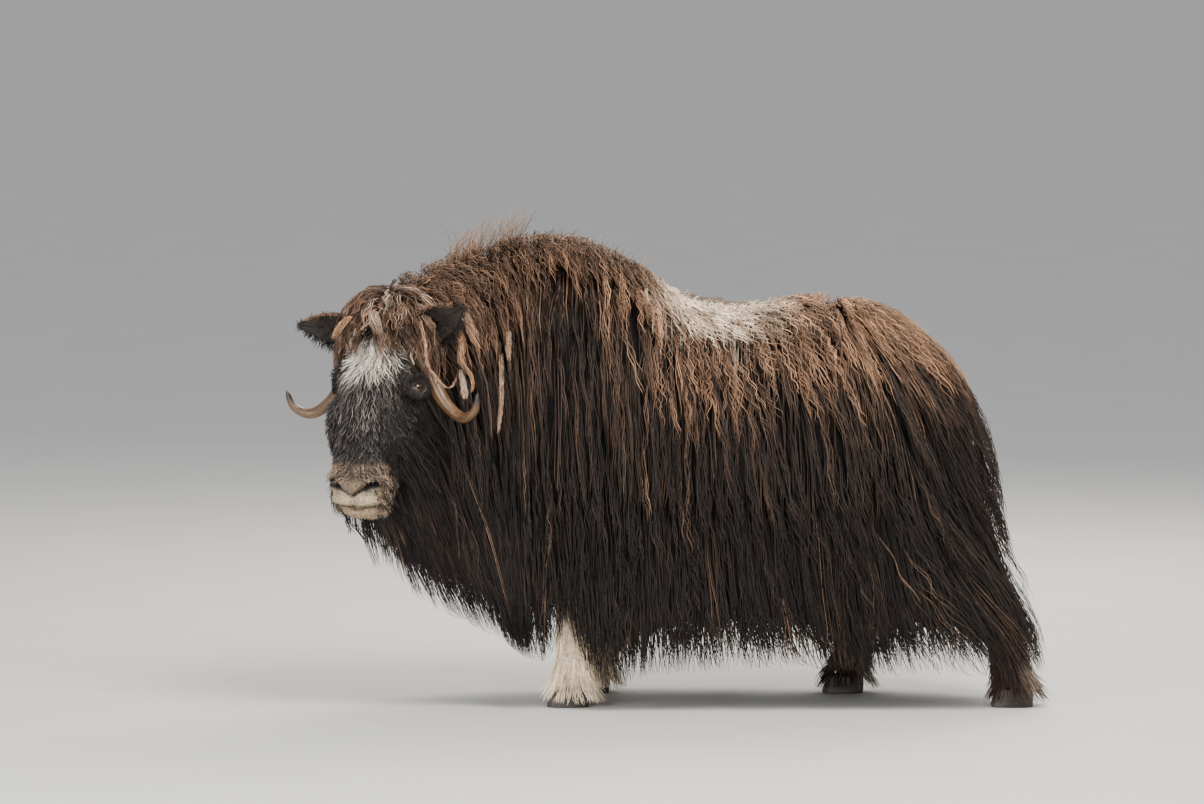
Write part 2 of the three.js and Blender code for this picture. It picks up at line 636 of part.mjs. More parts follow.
function earSolid(side, grow = 0) {
  const mirror = (p) => new THREE.Vector3(p[0], side * p[1], p[2]);
  const root = mirror(EAR_LINE.root);
  const tip = mirror(side > 0 ? EAR_LINE.tip.left : EAR_LINE.tip.right);
  const ahead = tip.clone().sub(root);
  const length = ahead.length();
  ahead.normalize();
  const facing = new THREE.Vector3(0.86, 0, -0.5);
  facing.addScaledVector(ahead, -facing.dot(ahead)).normalize();
  const across = ahead.clone().cross(facing);
  const steps = 6;
  const belly = (t) => Math.sin(Math.PI * (0.16 + 0.72 * t)) ** 1.2;
  const width = (t) => EAR.halfWidth * (0.45 + 0.75 * belly(t)) * (1 - t ** 3);
  const leaf = (shrink, lift) =>
    loft(
      Array.from({ length: steps + 1 }, (_, i) => {
        const t = i / steps;
        const along = i === 0 ? -grow : length * t;
        const centre = root
          .clone()
          .addScaledVector(ahead, along)
          .addScaledVector(facing, lift + 8 * Math.sin(Math.PI * t));
        if (i === steps) return [centre];
        const half = Math.max(width(t) - shrink + grow, 3);
        const deep = Math.max((EAR.depth - shrink) * (1 - 0.6 * t) + grow, 3);
        return Array.from({ length: 8 }, (_, k) => {
          const angle = (Math.PI * 2 * k) / 8;
          return centre
            .clone()
            .addScaledVector(across, half * Math.cos(angle))
            .addScaledVector(facing, deep * 0.7 * Math.sin(angle));
        });
      }),
    );
  if (grow > 0) return leaf(0, 0);
  const hollow = leaf(EAR.wall, EAR.wall * 1.9).translate(ahead.clone().multiplyScalar(26).toArray());
  return largest(leaf(0, 0).subtract(hollow));
}

// Legs

// A leg's own shape at a height: its middle and its half widths there.
function legAt(stations, z) {
  const i = Math.max(1, stations.findIndex((station) => station.at[2] <= z));
  const [upper, lower] = [stations[i - 1], stations[i]];
  const t = (upper.at[2] - z) / (upper.at[2] - lower.at[2]);
  const mix = THREE.MathUtils.lerp;
  return {
    x: mix(upper.at[0], lower.at[0], t),
    y: mix(upper.at[1], lower.at[1], t),
    fore: mix(upper.fore, lower.fore, t),
    across: mix(upper.across, lower.across, t),
  };
}

function legPoint(stations, z, angle, away) {
  const { x, y, fore, across } = legAt(stations, z);
  const [c, s] = [Math.cos(angle), Math.sin(angle)];
  return new THREE.Vector3(x + (fore + away) * c, y + (across + away) * s, z);
}

function legSolid({ stations }, grow = 0) {
  const rings = stations.map(({ at: [, , z] }, i) =>
    Array.from({ length: 10 }, (_, k) => {
      const end = i === 0 ? grow : i === stations.length - 1 ? -grow : 0;
      return legPoint(stations, z, (2 * Math.PI * k) / 10, grow).setZ(z + end);
    }),
  );
  return loft(rings);
}

// The hair of a lower leg: tiers of locks that root in the leg and spread outwards over the foot.
function legLocks({ stations, tiers }, seed) {
  const draw = draws(seed);
  return tiers.flatMap(({ from, to, spread, back, count }, tier) =>
    Array.from({ length: count }, (_, k) => {
      const angle = (2 * Math.PI * (k + tier / 2)) / count;
      const aside = spread + back * Math.max(0, Math.cos(angle)) + 5 * draw();
      const end = to + 6 * Math.abs(draw());
      const raised = k % 2 ? LEG_LOCK.raised : 0;
      const steps = 3;
      const places = Array.from({ length: steps + 1 }, (_, i) => {
        const t = i / steps;
        const away = (aside + raised + LEG_LOCK.sunk) * t ** 1.2 - LEG_LOCK.sunk;
        const at = legPoint(stations, Math.max(from + (end - from) * t, FOOT.top), angle, away);
        return { at: at.setZ(from + (end - from) * t), out: new THREE.Vector3(Math.cos(angle), Math.sin(angle), 0) };
      });
      return lock(places, LEG_LOCK.girth / count, LEG_LOCK.thick);
    }),
  );
}

// A cloven hoof: two claws side by side that meet under the coronet.
function hoofSolid(at) {
  const claw = (side) => {
    const outline = (scale, slope) =>
      Array.from({ length: 8 }, (_, k) => {
        const angle = (2 * Math.PI * k) / 8;
        const long = (FOOT.length / 2) * scale * Math.cos(angle) - slope;
        const wide = (FOOT.width / 4 - 2) * scale * Math.sin(angle);
        return new THREE.Vector3(at[0] + long - FOOT.toe, at[1] + side * (FOOT.width / 4) + wide, 0);
      });
    const levels = [
      { z: 0, scale: 1, slope: 0 },
      { z: 18, scale: 1.02, slope: -1 },
      { z: 44, scale: 0.86, slope: -8 },
    ];
    return loft(levels.map(({ z, scale, slope }) => outline(scale, slope).map((p) => p.setZ(z))));
  };
  const coronet = loft(
    [34, FOOT.top - GAP].map((z) =>
      Array.from({ length: 8 }, (_, k) => {
        const angle = (2 * Math.PI * k) / 8;
        return new THREE.Vector3(at[0] - 4 + 50 * Math.cos(angle), at[1] + 40 * Math.sin(angle), z);
      }),
    ),
  );
  return union([claw(1), claw(-1), coronet]);
}

function tailSolid(grow = 0) {
  const [x, y, z] = TAIL.root;
  const points = [0, 0.35, 0.7, 1].map((t) => {
    const end = t === 0 ? grow : t === 1 ? -grow : 0;
    return new THREE.Vector3(x + 62 * t ** 0.7, y, z - TAIL.length * t + end);
  });
  const size = [0.7, 1, 0.85, 0.35];
  return loft(points.map((p, i) =>
    Array.from({ length: 8 }, (_, k) => {
      const angle = (2 * Math.PI * k) / 8;
      const half = TAIL.half * size[i] + grow;
      return new THREE.Vector3(p.x + half * 0.6 * Math.cos(angle), p.y + half * Math.sin(angle), p.z);
    }),
  ));
}

// Assembly
const muskox = new THREE.Group();
const headGroup = new THREE.Group();
headGroup.position.copy(HEAD_PLACE);
headGroup.rotation.z = HEAD_YAW;
muskox.add(headGroup);

const body = trunk("core");
const bodyRoom = trunk("core", { grow: GAP });

// The tail hangs in the middle of the rump.
const overTail = (col, row) => Math.abs(col.angle - Math.PI / 2) < 0.15 && row.from > 0.2 && row.from < 0.8;

const legRooms = Object.values(LEGS).map((leg) => legSolid(leg, LEG_ROOM).subtract(body));
const trunkWhole = union([body, ...trunkLocks(11, overTail), ...hackles()]);
const torso = largest(behind(trunkWhole, NECK_CUT).subtract(union([tailSolid(GAP), ...legRooms])));
const neckWhole = union([trunkWhole, ...throatLocks(31)]);
const neck = largest(behind(ahead(neckWhole, NECK_CUT), HEAD_CUT));
muskox.add(meshOf(torso, "torso", COAT));
muskox.add(meshOf(neck, "neck", MANE));
muskox.add(meshOf(tailSolid(), "tail", COAT));

const localHeadCut = (() => {
  const at = spine(HEAD_CUT);
  const normal = at.ahead.clone().transformDirection(toHead);
  return { normal, point: at.point.clone().applyMatrix4(toHead) };
})();

const socketCuts = [1, -1].flatMap((side) => [
  hornSolid(side, GAP),
  earSolid(side, GAP),
  eyeball(side, GAP),
]);
const head = largest(
  union([faceSolid(), ...headHair(51)])
    .subtract(union(socketCuts))
    .trimByPlane(localHeadCut.normal.toArray(), localHeadCut.normal.dot(localHeadCut.point) + GAP / 2),
);
headGroup.add(meshOf(head, "head", FACE_HAIR));
for (const [side, word] of [[1, "left"], [-1, "right"]]) {
  headGroup.add(meshOf(hornSolid(side), "horn_" + word, HORN));
  headGroup.add(meshOf(earSolid(side), "ear_" + word, EAR_HAIR));
  headGroup.add(meshOf(eyeball(side), "eye_" + word, EYEBALL));
}

Object.entries(LEGS).forEach(([name, leg], i) => {
  const foot = leg.stations.at(-1).at;
  const solid = union([legSolid(leg), ...legLocks(leg, 43 + i)]).subtract(bodyRoom);
  muskox.add(meshOf(largest(solid), name, name.includes("front") ? PALE_LEG : COAT));
  muskox.add(meshOf(hoofSolid(foot), name.replace("leg", "hoof"), HOOF));
});

// The frame's origin is the middle of the model's footprint.
const box = new THREE.Box3().setFromObject(muskox, true);
const middle = box.getCenter(new THREE.Vector3());
muskox.position.set(-middle.x, -middle.y, -box.min.z);

export default muskox;
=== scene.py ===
"""A muskox with its long coat, standing with its head turned to its left."""

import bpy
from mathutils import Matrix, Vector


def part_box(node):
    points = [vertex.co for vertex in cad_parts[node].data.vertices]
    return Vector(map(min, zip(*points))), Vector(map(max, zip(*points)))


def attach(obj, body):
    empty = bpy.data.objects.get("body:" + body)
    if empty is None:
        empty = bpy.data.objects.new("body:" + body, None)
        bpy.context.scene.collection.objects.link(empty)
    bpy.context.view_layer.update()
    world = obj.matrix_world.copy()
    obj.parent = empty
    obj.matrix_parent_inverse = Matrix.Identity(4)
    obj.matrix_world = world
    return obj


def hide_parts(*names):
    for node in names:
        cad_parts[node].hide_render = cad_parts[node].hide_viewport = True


bl_info = {
    "name": "Muskox",
    "version": (1, 0, 0),
    "blender": (4, 5, 0),
    "location": "View3D > Sidebar > Muskox",
    "description": "Models a standing muskox with its long hanging coat",
    "category": "Object",
}

import math

import bpy
import numpy as np
from bpy.props import FloatProperty, FloatVectorProperty, IntProperty, PointerProperty
from mathutils import Vector
from mathutils.bvhtree import BVHTree

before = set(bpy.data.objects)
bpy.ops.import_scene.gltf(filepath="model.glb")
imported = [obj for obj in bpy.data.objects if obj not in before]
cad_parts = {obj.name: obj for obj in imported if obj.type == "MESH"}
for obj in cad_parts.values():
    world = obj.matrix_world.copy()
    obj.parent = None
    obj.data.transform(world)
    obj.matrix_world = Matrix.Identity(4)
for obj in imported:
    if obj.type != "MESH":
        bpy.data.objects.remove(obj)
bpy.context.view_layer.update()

# The animal is worked out in its own axes: it faces -X, its left side faces -Y and it stands on z = 0.
# The near eye says how far the frame's origin is from there.
EYE_PLACE = np.array([-0.74747, -0.32073, 0.872])
SHIFT = sum(np.array(corner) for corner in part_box("eye_left")) / 2 - EYE_PLACE
SHIFT[2] = 0.0

# Trunk stations along the spine, in metres
FIGURES = ("back", "wide", "belly", "half", "coat_back", "coat_half")
STATIONS = np.array(
    [  # place, heights of back, widest level and belly, the body's half width, the coat's back and half width
        [-0.825, 1.045, 0.850, 0.720, 0.112, 1.150, 0.195],
        [-0.765, 1.068, 0.830, 0.680, 0.132, 1.178, 0.218],
        [-0.600, 1.128, 0.760, 0.600, 0.168, 1.232, 0.270],
        [-0.430, 1.172, 0.660, 0.520, 0.214, 1.274, 0.320],
        [-0.300, 1.170, 0.620, 0.470, 0.240, 1.262, 0.345],
        [-0.135, 1.112, 0.600, 0.440, 0.258, 1.184, 0.358],
        [0.000, 1.050, 0.600, 0.430, 0.268, 1.096, 0.362],
        [0.150, 1.038, 0.600, 0.430, 0.270, 1.078, 0.362],
        [0.300, 1.054, 0.600, 0.440, 0.262, 1.102, 0.356],
        [0.400, 1.052, 0.600, 0.448, 0.250, 1.108, 0.345],
    ]
)
# Height of the hem at each place fore and aft: it climbs to the chin and parts over the near front leg
HEM = np.array(
    [
        *((-0.96, 0.95), (-0.93, 0.75), (-0.90, 0.60), (-0.87, 0.50), (-0.83, 0.41), (-0.74, 0.34)),
        *((-0.67, 0.31), (-0.51, 0.225), (-0.44, 0.165), (-0.385, 0.155), (-0.33, 0.240), (-0.27, 0.115)),
        *((-0.22, 0.075), (-0.12, 0.115), (0.0, 0.130), (0.30, 0.145), (0.42, 0.130), (0.95, 0.100)),
    ]
).T
FRONT, RUMP = -0.825, 0.400  # ends of the straight and bent spine
BEND_FROM, BEND_RADIUS = -0.430, 0.490  # the neck bends to the left from here
RUMP_CORE, RUMP_COAT = 0.380, 0.445  # how far body and coat stand out behind the spine's end
CHEST_CORE, CHEST_COAT = 0.100, 0.132  # and ahead of its start
SIDE_ROUND, RUMP_ROUND, BELLY_ROUND = 2.2, 1.8, 3.6  # 2 is an ellipse, more is squarer
SPREAD = {"angle": 1.22, "width": 0.5, "lift": 1.60}  # the rump's hair over the outstretched hind leg

# Lengths of the coat's way round the animal: left side, rump, right side, chest
SIDE_WAY = RUMP - FRONT
RUMP_WAY = math.pi * 0.40
CHEST_WAY = math.pi * 0.205
WAY = 2 * SIDE_WAY + RUMP_WAY + CHEST_WAY

# The head's own axes: origin midway between the eyes, X forward, Y to its left, Z up
HEAD_AT = np.array([-0.840, -0.265, 0.872])
HEAD_TURN = math.radians(-120)
FACE = np.array(
    [  # front of the section (X, Z), its underside (X, Z) and its half width
        [-0.093, 0.153, -0.181, 0.081, 0.058],
        [-0.032, 0.151, -0.190, 0.016, 0.096],
        [0.012, 0.121, -0.176, -0.060, 0.114],
        [0.046, 0.077, -0.151, -0.126, 0.118],
        [0.071, 0.033, -0.114, -0.180, 0.114],
        [0.092, -0.023, -0.080, -0.219, 0.103],
        [0.111, -0.081, -0.045, -0.253, 0.091],
        [0.129, -0.138, -0.015, -0.283, 0.082],
        [0.142, -0.182, 0.010, -0.310, 0.078],
        [0.147, -0.216, 0.035, -0.333, 0.081],
        [0.141, -0.254, 0.055, -0.347, 0.076],
        [0.124, -0.288, 0.068, -0.350, 0.062],
        [0.098, -0.318, 0.080, -0.344, 0.032],
    ]
)
EYE = {"at": (0.002, 0.119, 0.006), "radius": 0.020, "facing": (0.42, 0.9, 0.06)}
IRIS = 0.0125  # radius
# Steps across the lid, from the opening outwards: place, size in openings and height over the eye's middle
LID_STEPS = [0, 0.10, 0.20, 0.34, 0.46, 0.62, 0.80, 0.92, 1.0]
LID_GROW = [0.92, 1.0, 1.10, 1.26, 1.42, 1.75, 2.35, 2.35, 0.4]
LID_RISE = [0.0100, 0.0140, 0.0160, 0.0152, 0.0156, 0.0120, 0.0010, -0.014, -0.014]
HORN_LINE = np.array(
    [  # from the root down, out and up to the tip
        [-0.050, 0.062, 0.125],
        [-0.056, 0.104, 0.082],
        [-0.061, 0.138, 0.020],
        [-0.057, 0.180, -0.042],
        [-0.047, 0.236, -0.078],
        [-0.031, 0.284, -0.060],
        [-0.019, 0.301, -0.012],
    ]
)
HORN_LIFT = {"left": 0.010, "right": -0.006}
HORN_RADII = ([0, 0.3, 0.5, 0.72, 0.86, 0.95, 1], [0.031, 0.023, 0.0185, 0.0150, 0.0115, 0.0070, 0.0035])
EAR = {"root": (-0.072, 0.092, 0.150), "left": (-0.008, 0.262, 0.226), "right": (-0.008, 0.262, 0.156)}
CAP = {"at": (-0.070, 0.0, 0.118), "core": (0.098, 0.116, 0.126), "coat": (0.132, 0.160, 0.172)}

# Legs: middle, half width fore and aft and half width across at each height
LEGS = {
    "front_left": [
        [-0.300, -0.150, 0.640, 0.075, 0.060],
        [-0.310, -0.156, 0.400, 0.056, 0.048],
        [-0.318, -0.158, 0.270, 0.046, 0.042],
        [-0.318, -0.160, 0.150, 0.042, 0.038],
        [-0.322, -0.160, 0.052, 0.054, 0.044],
    ],
    "front_right": [
        [-0.280, 0.150, 0.640, 0.075, 0.060],
        [-0.276, 0.156, 0.400, 0.056, 0.048],
        [-0.270, 0.158, 0.270, 0.046, 0.042],
        [-0.268, 0.160, 0.150, 0.042, 0.038],
        [-0.266, 0.160, 0.052, 0.054, 0.044],
    ],
    "hind_left": [
        [0.600, -0.130, 0.640, 0.100, 0.062],
        [0.672, -0.148, 0.440, 0.070, 0.054],
        [0.775, -0.156, 0.300, 0.052, 0.044],
        [0.848, -0.158, 0.170, 0.044, 0.038],
        [0.880, -0.160, 0.052, 0.054, 0.044],
    ],
    "hind_right": [
        [0.530, 0.130, 0.640, 0.100, 0.062],
        [0.508, 0.148, 0.440, 0.070, 0.054],
        [0.490, 0.156, 0.290, 0.052, 0.044],
        [0.459, 0.158, 0.160, 0.044, 0.038],
        [0.430, 0.160, 0.052, 0.054, 0.044],
    ],
}
HOOF = {"length": 0.112, "width": 0.100, "top": 0.052, "toe": 0.009}

PATCH = 0.003  # size of one hair's patch on the baking map
MANE_END, SADDLE_END = 0.70, 1.14  # ways along the side to the ends of the mane and the saddle
FAR_SHARE = 0.65  # locks on the right side, which the photo doesn't show, for each on the left
WORDS = (("left", 1), ("right", -1))  # the sides and their signs in the head's axes
MUZZLE_AT, MUZZLE_REACH = np.array([0.08, 0, -0.28]), 0.13


# Shapes of the trunk


def smooth(x, low, high):
    """Goes from 0 at low to 1 at high without corners."""
    t = np.clip((x - low) / (high - low), 0, 1)
    return t * t * (3 - 2 * t)


def fade(x, low, high):
    """Goes from 1 at low to 0 at high without corners."""
    return 1 - smooth(x, low, high)


def station(u, figure):
    """One of the trunk's figures at spine place u, on a curve through the stations."""
    x = STATIONS[:, 0]
    y = STATIONS[:, 1 + FIGURES.index(figure)]
    slope = np.empty_like(y)
    slope[1:-1] = (y[2:] - y[:-2]) / (x[2:] - x[:-2])
    slope[0] = (y[1] - y[0]) / (x[1] - x[0])
    slope[-1] = (y[-1] - y[-2]) / (x[-1] - x[-2])
    u = np.clip(u, x[0], x[-1])
    i = np.clip(np.searchsorted(x, u, side="right") - 1, 0, len(x) - 2)
    h = x[i + 1] - x[i]
    t = (u - x[i]) / h
    return (
        y[i] * (1 + 2 * t) * (1 - t) ** 2
        + y[i + 1] * t * t * (3 - 2 * t)
        + slope[i] * h * t * (1 - t) ** 2
        + slope[i + 1] * h * t * t * (t - 1)
    )


def spine(u):
    """The spine's place in plan and the directions ahead and to the left there."""
    turn = np.maximum(0, (BEND_FROM - u) / BEND_RADIUS)
    x = np.where(turn > 0, BEND_FROM - BEND_RADIUS * np.sin(turn), u)
    y = -BEND_RADIUS * (1 - np.cos(turn))
    ahead = np.stack([-np.cos(turn), -np.sin(turn)], -1)
    left = np.stack([np.sin(turn), -np.cos(turn)], -1)
    return np.stack([x, y], -1), ahead, left


def around(way):
    """Spine place and facing angle of a column, from its way round the animal in metres."""
    way = np.mod(way, WAY)
    ends = np.cumsum([SIDE_WAY, RUMP_WAY, SIDE_WAY, CHEST_WAY])
    u = np.where(way < ends[0], FRONT + way, np.where(way < ends[1], RUMP, RUMP - (way - ends[1])))
    u = np.where(way >= ends[2], FRONT, u)
    angle = np.where(way < ends[0], 0.0, np.pi * (way - ends[0]) / RUMP_WAY)
    angle = np.where(way >= ends[1], np.pi, angle)
    angle = np.where(way >= ends[2], np.pi + np.pi * (way - ends[2]) / CHEST_WAY, angle)
    return u, angle


def end_radius(s, coat):
    """How far rump and chest stand out from the spine's ends, for the body (0) or the coat (1)."""
    rear, front = ((RUMP_CORE, CHEST_CORE), (RUMP_COAT, CHEST_COAT))[coat]
    return np.where(s > 0, rear, front)


def column(way):
    """A column's spine place and facing angle, its middle and way out in plan, and how square it is."""
    u, angle = around(way)
    middle, ahead, left = spine(u)
    c, s = np.cos(angle), np.sin(angle)
    out = left * c[..., None] - ahead * s[..., None]
    behind = np.maximum(0, s)
    return u, angle, middle, out, 2 / (SIDE_ROUND + (RUMP_ROUND - SIDE_ROUND) * behind**2)


def stand(middle, out, r, z):
    """Places at the distance r from the middle and the height z."""
    return np.stack([middle[..., 0] + out[..., 0] * r, middle[..., 1] + out[..., 1] * r, z], -1)


def coat_place(way, q, depth):
    """A place in the coat and the way out there. q is 0 on the spine, 1 at the widest level, 2 at the hem and
    less than 0 beyond the spine; depth is 0 on the body and 1 on the coat's outside."""
    u, angle, middle, out, power = column(way)
    c, s = np.cos(angle), np.sin(angle)
    level = np.abs(q)
    turn = np.minimum(level, 1) / 2
    over = np.maximum(0, level - 1)
    wide = station(u, "wide")
    outside = 1 / np.hypot(c / station(u, "coat_half"), s / end_radius(s, 1))
    hem = np.interp(middle[..., 0] + out[..., 0] * outside, *HEM)

    def layer(half, coat, back, narrowing):
        reach = 1 / np.hypot(c / half, s / end_radius(s, coat))
        r = reach * (np.abs(np.sin(np.pi * turn)) ** power - narrowing * over**2)
        z = wide + (back - wide) * np.abs(np.cos(np.pi * turn)) ** power
        return r, np.where(over > 0, wide - (wide - hem) * over, z)

    r0, z0 = layer(station(u, "half"), 0, station(u, "back"), 0.22)
    r1, z1 = layer(station(u, "coat_half"), 1, station(u, "coat_back"), 0.07)
    near = np.where(s > 0, np.exp(-(((angle - SPREAD["angle"]) / SPREAD["width"]) ** 2)), 0)
    depth = depth * (1 + SPREAD["lift"] * near * smooth(level, 0.85, 1.85))
    side = np.where(q < 0, -1.0, 1.0)
    at = stand(middle, out, side * (r0 + (r1 - r0) * depth), z0 + (z1 - z0) * depth)
    run, rise = side * (r1 - r0), z1 - z0
    size = np.hypot(run, rise)
    return at, stand(np.zeros(2), out, run / size, rise / size)


def body_surface(way, turn, inset):
    """A place on the body's skin: turn runs from 0 on the spine to 1 in the middle of the belly."""
    u, angle, middle, out, power = column(way)
    c, s = np.cos(angle), np.sin(angle)
    upper = turn <= 0.5
    power = np.where(upper, power, 2 / BELLY_ROUND)
    half = station(u, "half")
    reach = 1 / np.hypot(c / half, s / np.where(s > 0, RUMP_CORE, half)) - inset
    wide = station(u, "wide")
    end = np.where(upper, station(u, "back") - inset, station(u, "belly") + inset)
    r = reach * np.abs(np.sin(np.pi * turn)) ** power
    return stand(middle, out, r, wide + (end - wide) * np.abs(np.cos(np.pi * turn)) ** power)


# Shapes of the head


def from_head(points):
    """Turns places in the head's axes into the animal's."""
    c, s = math.cos(HEAD_TURN), math.sin(HEAD_TURN)
    p = np.asarray(points, float)
    return np.stack([c * p[..., 0] - s * p[..., 1], s * p[..., 0] + c * p[..., 1], p[..., 2]], -1) + HEAD_AT


def head_way(ways):
    """Turns directions in the head's axes into the animal's."""
    return from_head(ways) - HEAD_AT


def to_head(points):
    """Turns places in the animal's axes into the head's."""
    c, s = math.cos(HEAD_TURN), math.sin(HEAD_TURN)
    p = np.asarray(points, float) - HEAD_AT
    return np.stack([c * p[..., 0] + s * p[..., 1], -s * p[..., 0] + c * p[..., 1], p[..., 2]], -1)


def curve_through(points, t):
    """Places at t, from 0 to 1, on a smooth curve through the rows of points."""
    points = np.asarray(points, float)
    n = len(points)
    at = np.clip(np.asarray(t) * (n - 1), 0, n - 1)
    i = np.minimum(at.astype(int), n - 2)
    f = (at - i)[..., None]
    p0, p1 = points[np.maximum(i - 1, 0)], points[i]
    p2, p3 = points[i + 1], points[np.minimum(i + 2, n - 1)]
    return 0.5 * (
        2 * p1 + (p2 - p0) * f + (2 * p0 - 5 * p1 + 4 * p2 - p3) * f**2 + (3 * p1 - p0 - 3 * p2 + p3) * f**3
    )


def unit(v):
    """Rows of v at length 1."""
    return v / np.maximum(np.linalg.norm(v, axis=-1, keepdims=True), 1e-9)


# Making and changing pieces


def alone(obj):
    """Selects one object and nothing else."""
    if bpy.context.object and bpy.context.object.mode != "OBJECT":
        bpy.ops.object.mode_set(mode="OBJECT")
    bpy.ops.object.select_all(action="DESELECT")
    obj.select_set(True)
    bpy.context.view_layer.objects.active = obj


def read_values(items, name, width=1, kind=np.float32):
    """One attribute of all of a mesh's items, as rows of the given width."""
    values = np.empty(len(items) * width, kind)
    items.foreach_get(name, values)
    return values.reshape(-1, width) if width > 1 else values


def corners(obj):
    """Places of all vertices."""
    return read_values(obj.data.vertices, "co", 3).astype(float)


def reshape(obj, points):
    """Moves all vertices to the points."""
    obj.data.vertices.foreach_set("co", np.asarray(points, np.float32).ravel())
    obj.data.update()


def point_values(mesh, name, kind, values):
    """Gives a mesh a named attribute with a number, vector or colour for each vertex."""
    if kind == "FLOAT_COLOR":
        values = np.concatenate([values, np.ones((len(values), 1))], 1)
    key = {"FLOAT": "value", "FLOAT_VECTOR": "vector", "FLOAT_COLOR": "color"}[kind]
    mesh.attributes.new(name, kind, "POINT").data.foreach_set(key, values.astype(np.float32).ravel())


def tidy(obj):
    """Merges doubled vertices, closes holes and turns the faces outwards."""
    alone(obj)
    bpy.ops.object.mode_set(mode="EDIT")
    bpy.ops.mesh.select_all(action="SELECT")
    bpy.ops.mesh.remove_doubles(threshold=1e-5)
    bpy.ops.mesh.fill_holes(sides=0)
    bpy.ops.mesh.normals_make_consistent(inside=False)
    bpy.ops.object.mode_set(mode="OBJECT")


def shaped_grid(name, across, along, place):
    """A grid primitive bent by place(u, v), with u and v from 0 to 1, and closed where its sides meet."""
    bpy.ops.object.select_all(action="DESELECT")
    bpy.ops.mesh.primitive_grid_add(x_subdivisions=across, y_subdivisions=along, size=1)
    piece = bpy.context.object
    piece.name = name
    flat = corners(piece) + 0.5
    reshape(piece, place(flat[:, 0], flat[:, 1]))
    tidy(piece)
    return piece


def capped(v, rings):
    """Share of the way along a tube's rings, and 0 instead of 1 on the first and last row, which close it."""
    return np.clip((v * (rings + 2) - 1) / rings, 0, 1), ((v > 1e-6) & (v < 1 - 1e-6)).astype(float)


def tube(name, line, radius, sides, rings, sideways=(0.0, 1.0, 0.0)):
    """A closed tube along line(t) with half widths radius(t) sideways and across that."""

    def place(u, v):
        t, inside = capped(v, rings)
        step = 1e-3
        ahead = unit(line(np.minimum(t + step, 1)) - line(np.maximum(t - step, 0)))
        across = unit(np.array(sideways) - ahead * (ahead @ np.array(sideways))[:, None])
        over = np.cross(ahead, across)
        wide, deep = radius(t)
        angle = 2 * np.pi * u
        at = line(t) + across * (wide * inside * np.cos(angle))[:, None]
        return at + over * (deep * inside * np.sin(angle))[:, None]

    return shaped_grid(name, sides, rings + 2, place)


def modify(obj, kind, **settings):
    """Adds a modifier to obj and applies it."""
    alone(obj)
    bpy.ops.object.modifier_add(type=kind)
    modifier = obj.modifiers[-1]
    for key, value in settings.items():
        setattr(modifier, key, value)
    bpy.ops.object.modifier_apply(modifier=modifier.name)


def join(pieces, name):
    """Makes one object of several."""
    bpy.ops.object.select_all(action="DESELECT")
    for piece in pieces:
        piece.select_set(True)
    bpy.context.view_layer.objects.active = pieces[0]
    bpy.ops.object.join()
    pieces[0].name = name
    pieces[0].data.name = name
    return pieces[0]


def settle(obj, replaced=()):
    """The last calls for a finished piece."""
    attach(obj, "root")
    if replaced:
        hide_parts(*replaced)


def complete(obj, material, replaced=()):
    """Moves a piece worked out in the animal's axes to the frame, with its material and last calls."""
    obj.data.shade_smooth()
    reshape(obj, corners(obj) + SHIFT)
    obj.data.materials.clear()
    obj.data.materials.append(material)
    settle(obj, replaced)


def ball(name, at, radii, turn=0.0):
    """An egg-shaped form at a place in the head's axes, turned about Y."""
    bpy.ops.object.select_all(action="DESELECT")
    bpy.ops.mesh.primitive_uv_sphere_add(segments=24, ring_count=16, radius=1)
    piece = bpy.context.object
    piece.name = name
    p = corners(piece) * radii
    c, s = math.cos(turn), math.sin(turn)
    p = np.stack([c * p[:, 0] + s * p[:, 2], p[:, 1], -s * p[:, 0] + c * p[:, 2]], -1)
    reshape(piece, from_head(p + at))
    return piece


# Materials


class Sum:
    """A shader value that can be added to and multiplied."""

    def __init__(self, finish, socket):
        self.finish, self.socket = finish, socket

    def __add__(self, other):
        return self.finish.node("ShaderNodeMath", {"operation": "ADD"}, {0: self, 1: other})

    def __mul__(self, other):
        return self.finish.node("ShaderNodeMath", {"operation": "MULTIPLY"}, {0: self, 1: other})


